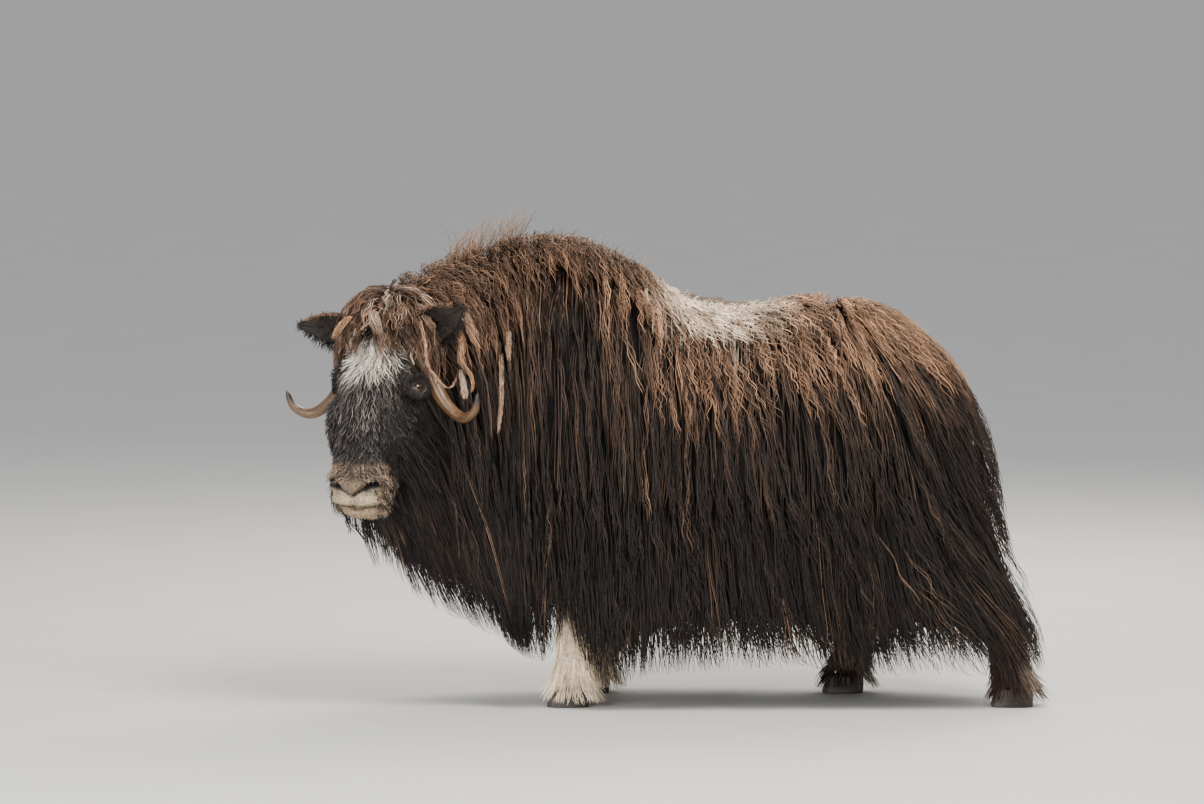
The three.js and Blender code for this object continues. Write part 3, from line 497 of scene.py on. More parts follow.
class Finish:
    """A material under construction: node() adds any node and returns its output."""

    def __init__(self, name, roughness, specular=0.5, coat=0.0):
        self.material = bpy.data.materials.new(name)
        self.material.use_nodes = True
        self.tree = self.material.node_tree
        self.shader = self.tree.nodes["Principled BSDF"]
        self.shader.inputs["Roughness"].default_value = roughness
        self.shader.inputs["Specular IOR Level"].default_value = specular
        self.shader.inputs["Coat Weight"].default_value = coat

    def node(self, kind, settings=None, inputs=None, output=0):
        node = self.tree.nodes.new(kind)
        for key, value in (settings or {}).items():
            setattr(node, key, value)
        for key, value in (inputs or {}).items():
            self.link(value, node.inputs[key])
        return Sum(self, node.outputs[output])

    def link(self, value, socket):
        if isinstance(value, Sum):
            self.tree.links.new(value.socket, socket)
        elif hasattr(value, "__len__") and len(value) == 3 and socket.type == "RGBA":
            socket.default_value = (*value, 1)
        else:
            socket.default_value = value

    def put(self, name, value):
        self.link(value, self.shader.inputs[name])

    def place(self):
        return self.node("ShaderNodeTexCoord", output=3)

    def noise(self, scale, detail=3, roughness=0.5, at=None):
        values = {"Vector": at or self.place(), "Scale": scale, "Detail": detail, "Roughness": roughness}
        return self.node("ShaderNodeTexNoise", None, values)

    def ramp(self, value, low, high):
        settings = {"interpolation_type": "SMOOTHSTEP", "clamp": True}
        return self.node("ShaderNodeMapRange", settings, {0: value, 1: low, 2: high})

    def mix(self, share, a, b):
        node = self.tree.nodes.new("ShaderNodeMix")
        node.data_type = "RGBA"
        for index, value in ((0, share), (6, a), (7, b)):
            self.link(value, node.inputs[index])
        return Sum(self, node.outputs[2])

    def attribute(self, name, colour=False):
        return self.node("ShaderNodeAttribute", {"attribute_name": name}, output=0 if colour else 2)

    def stretched(self, scales):
        """Object coordinates scaled along each axis."""
        return self.node("ShaderNodeMapping", None, {"Vector": self.place(), "Scale": scales})

    def bump(self, height, strength, distance):
        values = {"Height": height, "Strength": strength, "Distance": distance}
        self.put("Normal", self.node("ShaderNodeBump", None, values))


def hair_finish(name, roughness=0.55, specular=0.35):
    """Hair whose colour at each point is an attribute, broken up by fine streaks."""
    made = Finish(name, roughness, specular)
    colour = made.attribute("hair_colour", colour=True)
    streaks = made.noise(220, 2, at=made.stretched((1, 1, 0.12)))
    patches = made.noise(14, 3)
    shade = made.ramp(streaks, 0.3, 0.75) * 0.5 + made.ramp(patches, 0.3, 0.7) * 0.4 + 0.55
    scaled = made.node("ShaderNodeVectorMath", {"operation": "SCALE"}, {0: colour, 3: shade})
    made.put("Base Color", scaled)
    made.put("Roughness", made.ramp(patches, 0.2, 0.8) * 0.15 + (roughness - 0.07))
    return made.material


# Hair


class Strands:
    """Paths of hairs as arrays, gathered and then made into one mesh."""

    def __init__(self):
        self.parts = []

    def add(self, paths, out, width, colour, spot, flat=0.7):
        """paths (n, k, 3), out (3), (n, 3) or (n, k, 3), width (n), colour (n, k, 3), map's spot (n, 2)."""
        if out.ndim < 3:
            out = out.reshape(-1, 1, 3)
        self.parts.append((paths, out, width, colour, np.clip(spot, 0, 0.995), flat))

    def mesh(self, name, material):
        """One piece of closed tubes with three sides."""
        verts, colours, loops, starts, maps = [], [], [], [], []
        base = offset = 0
        for paths, out, width, colour, spot, flat in self.parts:
            n, k, _ = paths.shape
            ahead = np.gradient(paths, axis=1)
            across = unit(np.cross(ahead, out))
            over = unit(np.cross(across, ahead))
            t = np.linspace(0, 1, k)[None, :-1, None]
            half = width[:, None, None] * (0.75 + 0.6 * t - 1.1 * t * t) / 2
            ring = []
            for angle in (0.5 * np.pi, 0.5 * np.pi + 2 * np.pi / 3, 0.5 * np.pi + 4 * np.pi / 3):
                side = across[:, :-1] * (math.cos(angle) * half)
                ring.append(paths[:, :-1] + (side + over[:, :-1] * (math.sin(angle) * half * flat)))
            per = 3 * (k - 1) + 1
            block = np.concatenate([np.stack(ring, 2).reshape(n, -1, 3), paths[:, -1:]], 1)
            verts.append(block.reshape(-1, 3))
            tones = np.concatenate([np.repeat(colour[:, :-1], 3, 1), colour[:, -1:]], 1)
            colours.append(tones.reshape(-1, 3))
            first = base + per * np.arange(n)[:, None, None]
            sides = ((0, 1), (1, 2), (2, 0))
            i = 3 * np.arange(k - 2)[None, :, None]
            quads = [np.stack([i + a, i + b, i + 3 + b, i + 3 + a], -1)[:, :, 0] for a, b in sides]
            quads = np.concatenate(quads, 1) + first
            last = 3 * (k - 2)
            tris = np.array([[last + a, last + b, last + 3] for a, b in sides] + [[2, 1, 0]])[None] + first
            grow = np.concatenate([np.repeat(np.linspace(0, 1, k)[:-1], 3), [1.0]])
            turn = np.concatenate([np.tile([0, 0.5, 1.0], k - 1), [0.5]])
            local = np.stack([turn, grow], -1) * PATCH
            uv = (spot[:, None] + local[None]).reshape(-1, 2)
            for faces, size in ((quads.reshape(-1, 4), 4), (tris.reshape(-1, 3), 3)):
                loops.append(faces.ravel())
                maps.append(uv[faces.ravel() - base])
                starts.append(offset + size * np.arange(len(faces)))
                offset += faces.size
            base += n * per
        mesh = bpy.data.meshes.new(name)
        verts = np.concatenate(verts) + SHIFT
        loops, starts = np.concatenate(loops), np.concatenate(starts)
        mesh.vertices.add(len(verts))
        mesh.vertices.foreach_set("co", verts.astype(np.float32).ravel())
        mesh.loops.add(len(loops))
        mesh.loops.foreach_set("vertex_index", loops.astype(np.int32))
        mesh.polygons.add(len(starts))
        mesh.polygons.foreach_set("loop_start", starts.astype(np.int32))
        mesh.update(calc_edges=True)
        mesh.shade_smooth()
        layer = mesh.uv_layers.new(name="OFBake")
        layer.data.foreach_set("uv", np.concatenate(maps).astype(np.float32).ravel())
        point_values(mesh, "hair_colour", "FLOAT_COLOR", np.concatenate(colours))
        mesh.materials.append(material)
        piece = bpy.data.objects.new(name, mesh)
        bpy.context.scene.collection.objects.link(piece)
        return piece


def palette():
    """The colour settings as arrays."""
    colours = bpy.context.scene.muskox_colours
    return {key: np.array(getattr(colours, key)) for key in MuskoxColours.__annotations__}


def lerp(a, b, share):
    """Goes from a to b, rows of three, as share goes from 0 to 1."""
    return a + (b - a) * np.asarray(share)[..., None]


def hair_colours(rng, root, tip, share, strength):
    """Colours along hairs from the darker roots to the tips, the darkness partly the hair's own and partly
    painted shade deep in the coat; share is about 0 at the roots, strength brightens each hair.
    """
    share = np.clip(share + rng.normal(0, 0.08, len(root))[:, None], 0, 1)
    return lerp(root[:, None], tip[:, None], share) * strength()[:, None, None]


# Where the wavy golden locks of some parts of the coat have their roots; their golden ends are partly painted
# rim-light highlight
GOLDEN_LEVELS = {"left_rear": (0.08, 0.60), "rump_left": (-0.02, 0.42), "right_rear": (0.10, 0.55)}
# Level of the mane's lower edge at each place fore and aft
MANE_EDGE = (
    [-0.83, -0.62, -0.50, -0.42, -0.36, -0.20, -0.11, -0.05],
    [0.78, 0.74, 0.62, 0.40, 0.33, 0.31, 0.26, 0.0],
)


def markings(way, q):
    """How much of each marking the coat has at a place: mane, saddle, light top, dark shoulder patch."""
    u, angle = around(way)
    x = u + np.where((angle > 0) & (angle < np.pi), 0.42 * np.sin(angle), 0)
    level = np.abs(q)
    mane_edge = np.interp(x, *MANE_EDGE)
    mane = fade(level, mane_edge - 0.04, mane_edge + 0.04)
    saddle = smooth(x, -0.16, -0.05) * fade(x, 0.03, 0.32) * fade(level, 0.24, 0.42)
    top = np.interp(x, [-0.8, -0.6, -0.2, 0.1, 0.4, 0.8], [0.22, 0.30, 0.38, 0.38, 0.30, 0.06])
    light = fade(level, top, np.interp(x, [-0.8, -0.5, 0.4, 0.9], [0.80, 1.0, 1.0, 0.8]))
    patch = np.exp(-(((x + 0.345) / 0.110) ** 4)) * smooth(level, 0.33, 0.40) * fade(level, 0.60, 0.90)
    return mane, saddle, light, patch, x


def trunk_shade(way, q, draw, shades):
    """Colours of trunk hair at root and tip, for locks with places way and q and one draw from 0 to 1."""
    mane, saddle, light, patch, x = markings(way, q)
    low = smooth(np.abs(q), 0.95, 1.7)
    tip = lerp(shades["brown"], shades["red_brown"], np.clip(0.05 + light * 0.95, 0, 1))
    tip = lerp(tip, shades["black_brown"] * 1.15, low * 0.8)
    # Golden ends on the light top, more towards the rump: partly the hair's own light tips, partly painted
    # rim-light highlight.
    gold_and_highlight = np.clip(light * (0.02 + 1.15 * draw**2.6) + 0.12 * light * smooth(x, 0.0, 0.4), 0, 1)
    tip = lerp(tip, shades["golden"], gold_and_highlight)
    tip = lerp(tip, shades["golden"] * 0.40, (draw > 0.94) * 0.6 * (1 - light) * (1 - 0.3 * low))
    edge = np.interp(x, *MANE_EDGE)
    combed = np.clip(draw**2.0 * (0.55 + 0.9 * smooth(np.abs(q), edge - 0.20, edge - 0.02)), 0, 1)
    tip = lerp(tip, lerp(shades["ginger"] * 0.42, shades["golden"] * 0.80, combed), mane)
    curly = lerp(shades["golden"], shades["cream"] * 1.25, 0.30 + 0.70 * np.minimum(1, draw * 2.2))
    tip = lerp(tip, curly, saddle)
    tip = lerp(tip, shades["black_brown"] * 1.3, patch * 0.92)
    # Roots are darker than the ends: partly the hair's own colour, partly painted shade deep in the coat.
    root = lerp(shades["black_brown"], shades["brown"], light * 0.8)
    root = lerp(root, shades["red_brown"] * 0.55, mane * 0.9)
    root = lerp(root, shades["grey_wool"] * 0.22, saddle)
    root = lerp(root, shades["black_brown"] * 0.8, patch)
    return root, tip


LOCK = {  # what trunk_hair takes where a look says nothing
    "low_bias": False,
    "reach": None,
    "shade_at": 0.35,
    "gild": 0.0,
    # Darkening of the ends: painted shade for the deeper layers of the coat.
    "deep_shade": 1.0,
    "ragged": 0.015,
    "fuzz": 0.04,
    "loose": 0.2,
    "splay": 0.0,
    "uneven": 0.03,
    "rise": 2.6,
    "fade": 0.8,
}


def trunk_hair(rng, locks, per_lock, ways, levels, look, shades, hairs=None):
    """Locks of hair on the trunk. ways and levels bound their roots, and look gives their figures:
    length of their way down, which may depend on the root's level, and reach, the least level of their ends;
    depth of the ends in the coat, drift to the rear and stray from it, waves and their swing amp;
    width of a lock, how far it gathers and how thick a hair is;
    how ragged its roots, uneven its ends, loose its waves and fuzzy its depth are, and how far ends splay;
    where its markings are read, how its colour fades in from the root, how far painted shade darkens its ends
    and how far they are gilded, partly as painted highlight."""
    look = LOCK | look
    hairs = hairs or Strands()
    k = look["segments"] + 1
    t = np.linspace(0, 1, k)[None]
    way0 = rng.uniform(*ways, locks)
    low, high = levels(way0) if callable(levels) else levels
    q0 = low + (high - low) * (rng.power(1.5, locks) if look["low_bias"] else rng.random(locks))
    draw = rng.random(locks)
    u0, angle0 = around(way0)
    length = look["length"](q0) if callable(look["length"]) else look["length"]
    length = length * rng.uniform(0.82, 1.12, locks)
    end = np.minimum(q0 + length, 2.0 + rng.uniform(-0.10, 0.035, locks))
    if look["reach"]:
        end = np.maximum(end, rng.uniform(*look["reach"], locks))
    deep = rng.uniform(*look["depth"], locks)
    drift = look["drift"](u0) * np.clip(2 * np.cos(angle0), -1, 1) + rng.normal(0, look["stray"], locks)
    phase, phase2 = rng.uniform(0, 2 * np.pi, (2, locks))
    waves = look["waves"] * rng.uniform(0.8, 1.25, locks)
    amp = look["amp"] * rng.uniform(0.5, 1.4, locks)
    root, tip = trunk_shade(way0, q0 + look["shade_at"] * (end - q0), draw, shades)
    # Gilding turns the ends golden: partly the locks' own light tips, partly painted highlight.
    gild = look["gild"] * (1 - 0.8 * smooth(q0, 0.25, 0.75))
    tip = lerp(tip * look["deep_shade"], shades["golden"] * (0.4 + 0.7 * draw[:, None]), gild)

    idx = np.repeat(np.arange(locks), per_lock)
    n = len(idx)
    off_way = rng.normal(0, look["width"] * 0.5, n)
    off_q = rng.normal(0, look["ragged"], n)
    off_deep = rng.normal(0, look["fuzz"], n)
    hold = 1 - look["gather"] * t**0.7
    turns = 2 * np.pi * waves[idx, None] * t
    swing = np.sin(turns + phase[idx, None] + rng.normal(0, look["loose"], n)[:, None])
    bob = np.cos(turns + phase2[idx, None] + rng.normal(0, look["loose"], n)[:, None])
    grow = np.minimum(1, t * 3.5)
    way = way0[idx, None] + off_way[:, None] * hold + drift[idx, None] * t**1.3
    way = way + amp[idx, None] * swing * grow + rng.normal(0, look["splay"], n)[:, None] * t**3
    q = (q0[idx] + off_q)[:, None] + (end[idx] - q0[idx] + rng.normal(0, look["uneven"], n))[:, None] * t
    depth = -0.06 + (deep[idx] + off_deep)[:, None] * (1 - (1 - t) ** look["rise"])
    paths, out = coat_place(way, np.minimum(q, 2.045), np.minimum(depth, 1.05))
    paths = paths + out * (amp[idx, None] * 0.7 * bob * grow)[..., None]
    strength = lambda: rng.lognormal(0, 0.18, locks)[idx] * rng.lognormal(0, 0.28, n)
    colour = hair_colours(rng, root[idx], tip[idx], t ** look["fade"], strength)
    width = look["thick"] * rng.uniform(0.7, 1.25, n)
    spot = [0.01 + 0.97 * np.mod(way0[idx] + off_way, WAY) / WAY, 0.01 + 0.95 * (q0[idx] + 0.2) / 2.2]
    hairs.add(paths, out, width, colour, np.stack(spot, -1))
    return hairs


def skin_faces():
    """Places, normals and areas of the skin's faces in the animal's axes."""
    faces = bpy.data.objects["skin"].data.polygons
    at, normal, area = (read_values(faces, *what) for what in (("center", 3), ("normal", 3), ("area",)))
    return at - SHIFT, normal.astype(float), area.astype(float)


def skin_roots(rng, count, chance):
    """Random places on the skin, as thick as chance(places, normals) says."""
    at, normal, area = skin_faces()
    weight = area * chance(at, normal)
    pick = rng.choice(len(weight), count, p=weight / weight.sum())
    loose = rng.normal(0, 1, (count, 3)) * np.sqrt(area[pick])[:, None] * 0.4
    loose -= normal[pick] * (loose * normal[pick]).sum(1)[:, None]
    return at[pick] + loose, normal[pick]


def skin_tree():
    """A search tree of the skin's faces in the animal's axes."""
    skin = bpy.data.objects["skin"]
    faces = read_values(skin.data.loops, "vertex_index", 1, np.int32)
    starts = read_values(skin.data.polygons, "loop_start", 1, np.int32)
    polygons = [chunk.tolist() for chunk in np.split(faces, starts[1:])]
    return BVHTree.FromPolygons((corners(skin) - SHIFT).tolist(), polygons)


def clear_of_skin(tree, paths, margins):
    """Lifts the points of the paths, after their roots, to stand clear of the skin by the margins."""
    for i in range(paths.shape[0]):
        for j in range(1, paths.shape[1]):
            point = Vector(paths[i, j])
            near, normal, _, _ = tree.find_nearest(point, 0.03)
            if near is None:
                continue
            height = (point - near).dot(normal)
            if height < margins[j]:
                paths[i, j] = np.array(point + normal * (margins[j] - height))
    return paths


def pelt(rng, hairs, roots, normals, flow, look, root_shade, tip_shade, spot, tree=None):
    """Short hair on the skin. flow gives each hair's direction. look gives its length and thickness, its lift
    from the skin, how far it is sunk into or clear of it, a lock's size, its waves, their swing and bend."""
    n, k = len(roots), look["segments"] + 1
    t = np.linspace(0, 1, k)[None]
    flow = unit(flow - normals * (flow * normals).sum(1)[:, None])
    side = np.cross(normals, flow)
    length = look["length"] * rng.uniform(0.75, 1.2, n)
    lift = look["lift"] * rng.uniform(0.6, 1.4, n)
    cell = np.floor(roots / look["lock"]).astype(int)
    key = (cell[:, 0] * 73856093 ^ cell[:, 1] * 19349663 ^ cell[:, 2] * 83492791) % 9973
    table = rng.random((9973, 3))
    phase = 2 * np.pi * table[key, 0] + rng.normal(0, 0.35, n)
    bend = look["bend"] * (table[key, 1] - 0.5) + rng.normal(0, 0.1, n)
    waves = look["waves"] * (0.8 + 0.4 * table[key, 2])
    amp = look["amp"] * rng.uniform(0.6, 1.3, n)
    turns = 2 * np.pi * waves[:, None] * t + phase[:, None]
    swing = np.sin(turns) - np.sin(phase)[:, None]
    bob = np.cos(turns) - np.cos(phase)[:, None]
    rise = lift[:, None] * (1 - (1 - t) ** 2) - look["sunk"] * (1 - t)
    paths = roots[:, None] + flow[:, None] * (length[:, None] * t)[..., None]
    paths = paths + side[:, None] * (amp[:, None] * swing + bend[:, None] * length[:, None] * t**2)[..., None]
    paths = paths + normals[:, None] * (rise + 0.5 * amp[:, None] * bob * np.minimum(1, 2 * t))[..., None]
    if tree is not None:
        paths = clear_of_skin(tree, paths, np.linspace(0, look["clear"], k))
    strength = lambda: rng.lognormal(0, look["vary"], n)
    colour = hair_colours(rng, root_shade, tip_shade, t ** look["fade"], strength)
    hairs.add(paths, normals, look["thick"] * rng.uniform(0.7, 1.3, n), colour, spot)


def head_spot(h):
    """A head hair's place on the baking map: round the head's long axis and along it."""
    turn = np.arctan2(h[:, 1], h[:, 0] + 0.03 + 0.25 * np.clip(-h[:, 2], 0, 0.4)) / (2 * np.pi) + 0.5
    return np.stack([0.01 + 0.97 * turn, 0.01 + 0.95 * np.clip((h[:, 2] + 0.37) / 0.70, 0, 1)], -1)


# Settings


def length_setting(name, text, default):
    """A setting in metres."""
    return FloatProperty(name=name, description=text, default=default, min=0.0, unit="LENGTH")


def colour_setting(name, text, default):
    """A linear colour."""
    kind = {"min": 0.0, "max": 1.0, "size": 3, "subtype": "COLOR"}
    return FloatVectorProperty(name=name, description=text, default=default, **kind)


class MuskoxColours(bpy.types.PropertyGroup):
    black_brown: colour_setting("Black brown", "Darkest hair", (0.010, 0.007, 0.006))
    brown: colour_setting("Brown", "Hair of the lower coat", (0.028, 0.0175, 0.0135))
    red_brown: colour_setting("Red brown", "Hair of the upper flanks", (0.105, 0.058, 0.037))
    # Golden ends are partly painted rim-light highlight.
    golden: colour_setting("Golden", "Light ends of the upper coat", (0.78, 0.435, 0.245))
    ginger: colour_setting("Ginger", "Mane and hump", (0.28, 0.160, 0.098))
    cream: colour_setting("Cream", "Curly saddle", (1.0, 0.85, 0.66))
    grey_wool: colour_setting("Grey wool", "Shed wool", (0.42, 0.32, 0.25))
    tan: colour_setting("Tan", "Curls over the nose", (0.36, 0.25, 0.175))
    # Only the front legs are pale; the hind legs' darker brown is painted shade.
    pale: colour_setting("Pale", "Hair of the front legs", (1.0, 0.84, 0.63))


class MuskoxSizes(bpy.types.PropertyGroup):
    body_voxel: length_setting("Body detail", "Face size of the body's skin", 0.011)
    head_voxel: length_setting("Head detail", "Face size of the head's skin", 0.0032)
    hair_width: length_setting("Hair width", "Width of a strand of the long coat", 0.0037)
    lock_width: length_setting("Lock width", "Width of a lock at its root", 0.012)
    wave: length_setting("Wave", "How far the long hair swings to each side", 0.0045)
    density: FloatProperty(name="Density", description="Share of the locks made", default=1.0, min=0.05)
    seed: IntProperty(name="Seed", description="Start of every random draw", default=7)


class MuskoxStage(bpy.types.PropertyGroup):
    distance: length_setting("Distance", "From the camera to the animal", 25.0)
    width: length_setting("Width", "What the picture takes in at the animal", 3.2508)
    floor: length_setting("Floor", "Side of the floor", 160.0)


def amount(count):
    """How many locks or hairs are made, of the full count."""
    return max(1, int(count * bpy.context.scene.muskox_sizes.density))


# Operators


class MUSKOX_OT_skin(bpy.types.Operator):
    """Model the skin of trunk, head, tail and legs as one form"""

    bl_idname = "muskox.skin"
    bl_label = "Skin"

    def execute(self, context):
        sizes = context.scene.muskox_sizes
        trunk = shaped_grid("skin", 120, 48, lambda u, v: body_surface(u * WAY * 0.999999, v, 0.004))
        parts = [trunk]
        for name, rows in LEGS.items():
            rows = np.array(rows)
            line = lambda t, rows=rows: curve_through(rows[:, :3], t)
            radius = lambda t, rows=rows: curve_through(rows[:, 3:], t).T
            parts.append(tube(name, line, radius, 24, 30, sideways=(1.0, 0.0, 0.0)))
        tail = lambda t: np.stack([0.742 + 0.055 * t**0.7, 0 * t, 0.850 - 0.165 * t], -1)
        parts.append(tube("tail", tail, lambda t: (0.03 * (1 - 0.6 * t), 0.018 * (1 - 0.5 * t)), 16, 12))
        skin = join(parts, "skin")
        modify(skin, "REMESH", mode="VOXEL", voxel_size=sizes.body_voxel)
        modify(skin, "SMOOTH", factor=0.5, iterations=6)
        head = self.head(sizes)
        modify(skin, "BOOLEAN", operation="UNION", solver="MANIFOLD", object=head)
        bpy.data.objects.remove(head)
        point_values(skin.data, "hair_colour", "FLOAT_COLOR", skin_shade(corners(skin), palette()))
        flesh = ["torso", "neck", "tail", "head"] + ["leg_" + name for name in LEGS]
        complete(skin, skin_finish(), flesh)
        return {"FINISHED"}

    def head(self, sizes):
        """The head's own form, finer than the body's, with its openings pressed in."""

        def face(u, v):
            t, inside = capped(v, 60)
            rows = curve_through(FACE, t)
            front = np.stack([rows[:, 0], 0 * v, rows[:, 1]], -1)
            under = np.stack([rows[:, 2], 0 * v, rows[:, 3]], -1)
            middle = (front + under) / 2
            angle = 2 * np.pi * u
            y = rows[:, 4] * np.sign(np.sin(angle)) * np.abs(np.sin(angle)) ** 0.85
            point = middle + (front - middle) * (np.cos(angle) * inside)[:, None]
            point[:, 1] = y * inside
            return from_head(point)

        parts = [shaped_grid("head", 64, 62, face)]
        parts.append(ball("crown", CAP["at"], CAP["core"]))
        parts.append(ball("throat", (-0.085, 0, -0.170), (0.070, 0.082, 0.095)))
        parts.append(ball("chin", (0.080, 0, -0.326), (0.038, 0.054, 0.018)))
        parts.append(ball("nose_pad", (0.124, 0, -0.246), (0.026, 0.052, 0.034), turn=-0.1))
        for side in (1, -1):
            parts.append(ball("brow", (0.004, side * 0.098, 0.024), (0.042, 0.032, 0.036)))
            parts.append(ball("cheek", (0.030, side * 0.072, -0.110), (0.075, 0.044, 0.095), turn=0.35))
            parts.append(ball("nostril_wing", (0.098, side * 0.050, -0.246), (0.046, 0.036, 0.034)))
            parts.append(ball("lip", (0.100, side * 0.034, -0.290), (0.042, 0.044, 0.026)))
        head = join(parts, "head_form")
        modify(head, "REMESH", mode="VOXEL", voxel_size=sizes.head_voxel)
        modify(head, "SMOOTH", factor=0.5, iterations=8)
        self.carve(head)
        return head

    def carve(self, head):
        """Presses the nostrils, the mouth line, the furrow of the nose and the eye sockets into the head."""
        bpy.ops.object.select_all(action="DESELECT")
        p = corners(head)
        h = to_head(p)
        across = np.abs(h[:, 1])
        front = smooth(h[:, 0], 0.045, 0.075)
        line = np.exp(-(((h[:, 2] - mouth_height(across)) / 0.0045) ** 2)) * smooth(h[:, 0], 0.030, 0.055)
        press = 0.011 * line * (h[:, 2] < -0.2) * fade(across, 0.086, 0.096)
        over, half = nostril(h)
        hole = fade(np.abs(over) / half, 0.5, 1.25) * front
        press = press + hole * (0.006 + 1.6 * half)
        furrow = np.exp(-((h[:, 1] / 0.0035) ** 2)) * smooth(h[:, 2], -0.303, -0.296)
        furrow = furrow * fade(h[:, 2], -0.280, -0.272)
        press = press + 0.003 * furrow * front
        eye = np.stack([h[:, 0] - EYE["at"][0], across - EYE["at"][1], h[:, 2] - EYE["at"][2]], -1)
        facing = unit(np.array(EYE["facing"]))
        away = np.linalg.norm(eye - (eye @ facing)[:, None] * facing, axis=1)
        press = press + 0.016 * (fade(away, 0.014, 0.036) * (eye @ facing > -0.03))
        reshape(head, p - read_values(head.data.vertices, "normal", 3) * press[:, None])


# Colours of the muzzle's parts: "dark" is painted shade in the pressed-in nostrils and mouth line, "shadow"
# is painted shadow under the nostrils.
NOSE_TONES = {  # colours of the muzzle's parts
    "pad": (0.17, 0.125, 0.085),
    "dark": (0.009, 0.007, 0.006),
    "lip": (0.46, 0.36, 0.235),
    "chin": (0.36, 0.26, 0.165),
    "shadow": (0.075, 0.062, 0.055),
}


def mouth_height(across):
    """Height of the mouth line, at distances from the head's middle."""
    return -0.313 + 0.016 * (across / 0.084) ** 2


NOSTRIL_LINE = ([0, 0.006, 0.020, 0.038, 0.060, 0.086], [-0.279, -0.277, -0.269, -0.256, -0.243, -0.248])
NOSTRIL_HALF = (
    [0, 0.006, 0.020, 0.038, 0.060, 0.076, 0.088],
    [0.0036, 0.0040, 0.0046, 0.0080, 0.0130, 0.0085, 0.0005],
)


def nostril(h):
    """How far places lie above the middle line of the nostril's slit, and the slit's half height there."""
    across = np.abs(h[:, 1])
    return h[:, 2] - np.interp(across, *NOSTRIL_LINE), np.interp(across, *NOSTRIL_HALF)


def muzzle_zones(h):
    """How much pad, nostril, lips, chin and mouth line are at places in the head's axes."""
    across = np.abs(h[:, 1])
    front = smooth(h[:, 0], 0.040, 0.070)
    mouth = mouth_height(across)
    over, half = nostril(h)
    hole = fade(np.abs(over) / half, 0.8, 1.35) * front
    pad = smooth(over, 0, 0.006) * fade(h[:, 2], -0.242, -0.230)
    pad = pad * fade(across, 0.066, 0.082) * front
    lip = smooth(-over, half * 0.5, half + 0.004) * smooth(h[:, 2], mouth - 0.001, mouth + 0.002) * front
    lip = lip * fade(across, 0.060, 0.088) * (h[:, 2] < -0.24)
    line = np.exp(-(((h[:, 2] - mouth) / 0.0046) ** 2)) * smooth(h[:, 0], 0.030, 0.055)
    line = line * fade(across, 0.084, 0.094)
    chin = fade(h[:, 2], mouth - 0.003, mouth) * smooth(h[:, 2], -0.352, -0.340)
    chin = chin * fade(across, 0.040, 0.068) * smooth(h[:, 0], 0.045, 0.080)
    return pad, hole, lip, chin, line


def near_muzzle(h):
    """Whether places in the head's axes belong to the muzzle."""
    return np.linalg.norm(h - MUZZLE_AT, axis=1) < MUZZLE_REACH


def nose_curls(h):
    """How much of the tan curls over the nose is at places in the head's axes."""
    across = np.abs(h[:, 1])
    return smooth(-h[:, 2], 0.168, 0.205) * fade(across, 0.070, 0.105) * smooth(h[:, 0], 0.05, 0.09)


def skin_shade(points, shades):
    """Colour of the skin under the hair at each place: the coat's markings, darkened as painted shade under
    the hair.
    """
    x, z = points[:, 0], points[:, 2]
    saddle = smooth(x, -0.13, -0.02) * fade(x, 0.20, 0.42) * smooth(z, 0.95, 1.02)
    hump = smooth(z, 1.02, 1.10) * fade(x, -0.15, 0.0) * smooth(x, -0.75, -0.6)
    # Only the front legs' skin is pale; the hind legs' skin stays dark as painted shade under the body.
    pale = fade(z, 0.20, 0.32) * fade(x, -0.1, 0.0)
    colour = np.repeat(shades["black_brown"][None] * 0.8, len(points), 0)
    colour = lerp(colour, shades["grey_wool"] * 0.35, saddle)
    colour = lerp(colour, shades["red_brown"] * 0.35, hump)
    colour = lerp(colour, shades["pale"] * 0.85, pale)
    h = to_head(points)
    tuft = np.exp(-(((h[:, 1] - 0.010) / 0.050) ** 2)) * smooth(h[:, 2], 0.01, 0.05)
    tuft = tuft * fade(h[:, 2], 0.11, 0.14)
    colour = lerp(colour, np.array([0.16, 0.13, 0.11]), tuft * smooth(h[:, 0], -0.05, 0.0) * (h[:, 0] < 0.2))
    colour = lerp(colour, shades["tan"] * 0.14, nose_curls(h) * (h[:, 2] > -0.36) * (h[:, 0] < 0.2))
    pad, hole, lip, chin, line = muzzle_zones(h)
    near = near_muzzle(h).astype(float)
    over, half = nostril(h)
    across = np.abs(h[:, 1])
    # Painted shadow below the nostril slits, fading towards the lip.
    nostril_shadow = fade(-over, half, half + 0.020) * (over < 0) * smooth(across, 0.028, 0.045) * (across < 0.09)
    nostril_shadow = nostril_shadow * fade(across, 0.066, 0.084)
    # The nostril holes and the mouth line are painted dark: painted shade in the pressed-in openings and
    # crease.
    parts = (("pad", pad), ("lip", lip), ("chin", chin), ("shadow", nostril_shadow), ("dark", hole))
    for key, share in (*parts, ("dark", line * 0.9)):
        colour = lerp(colour, np.array(NOSE_TONES[key]), np.clip(share * near, 0, 1))
    return colour


def skin_finish():
    """Skin with its colours as an attribute, under a fine nap."""
    made = Finish("skin", 0.7, 0.3)
    colour = made.attribute("hair_colour", colour=True)
    fine = made.noise(160, 4)
    shade = made.ramp(fine, 0.3, 0.7) * 0.7 + 0.6
    made.put("Base Color", made.node("ShaderNodeVectorMath", {"operation": "SCALE"}, {0: colour, 3: shade}))
    made.bump(made.noise(260, 4, at=made.stretched((1, 1, 0.4))), 0.8, 0.002)
    return made.material


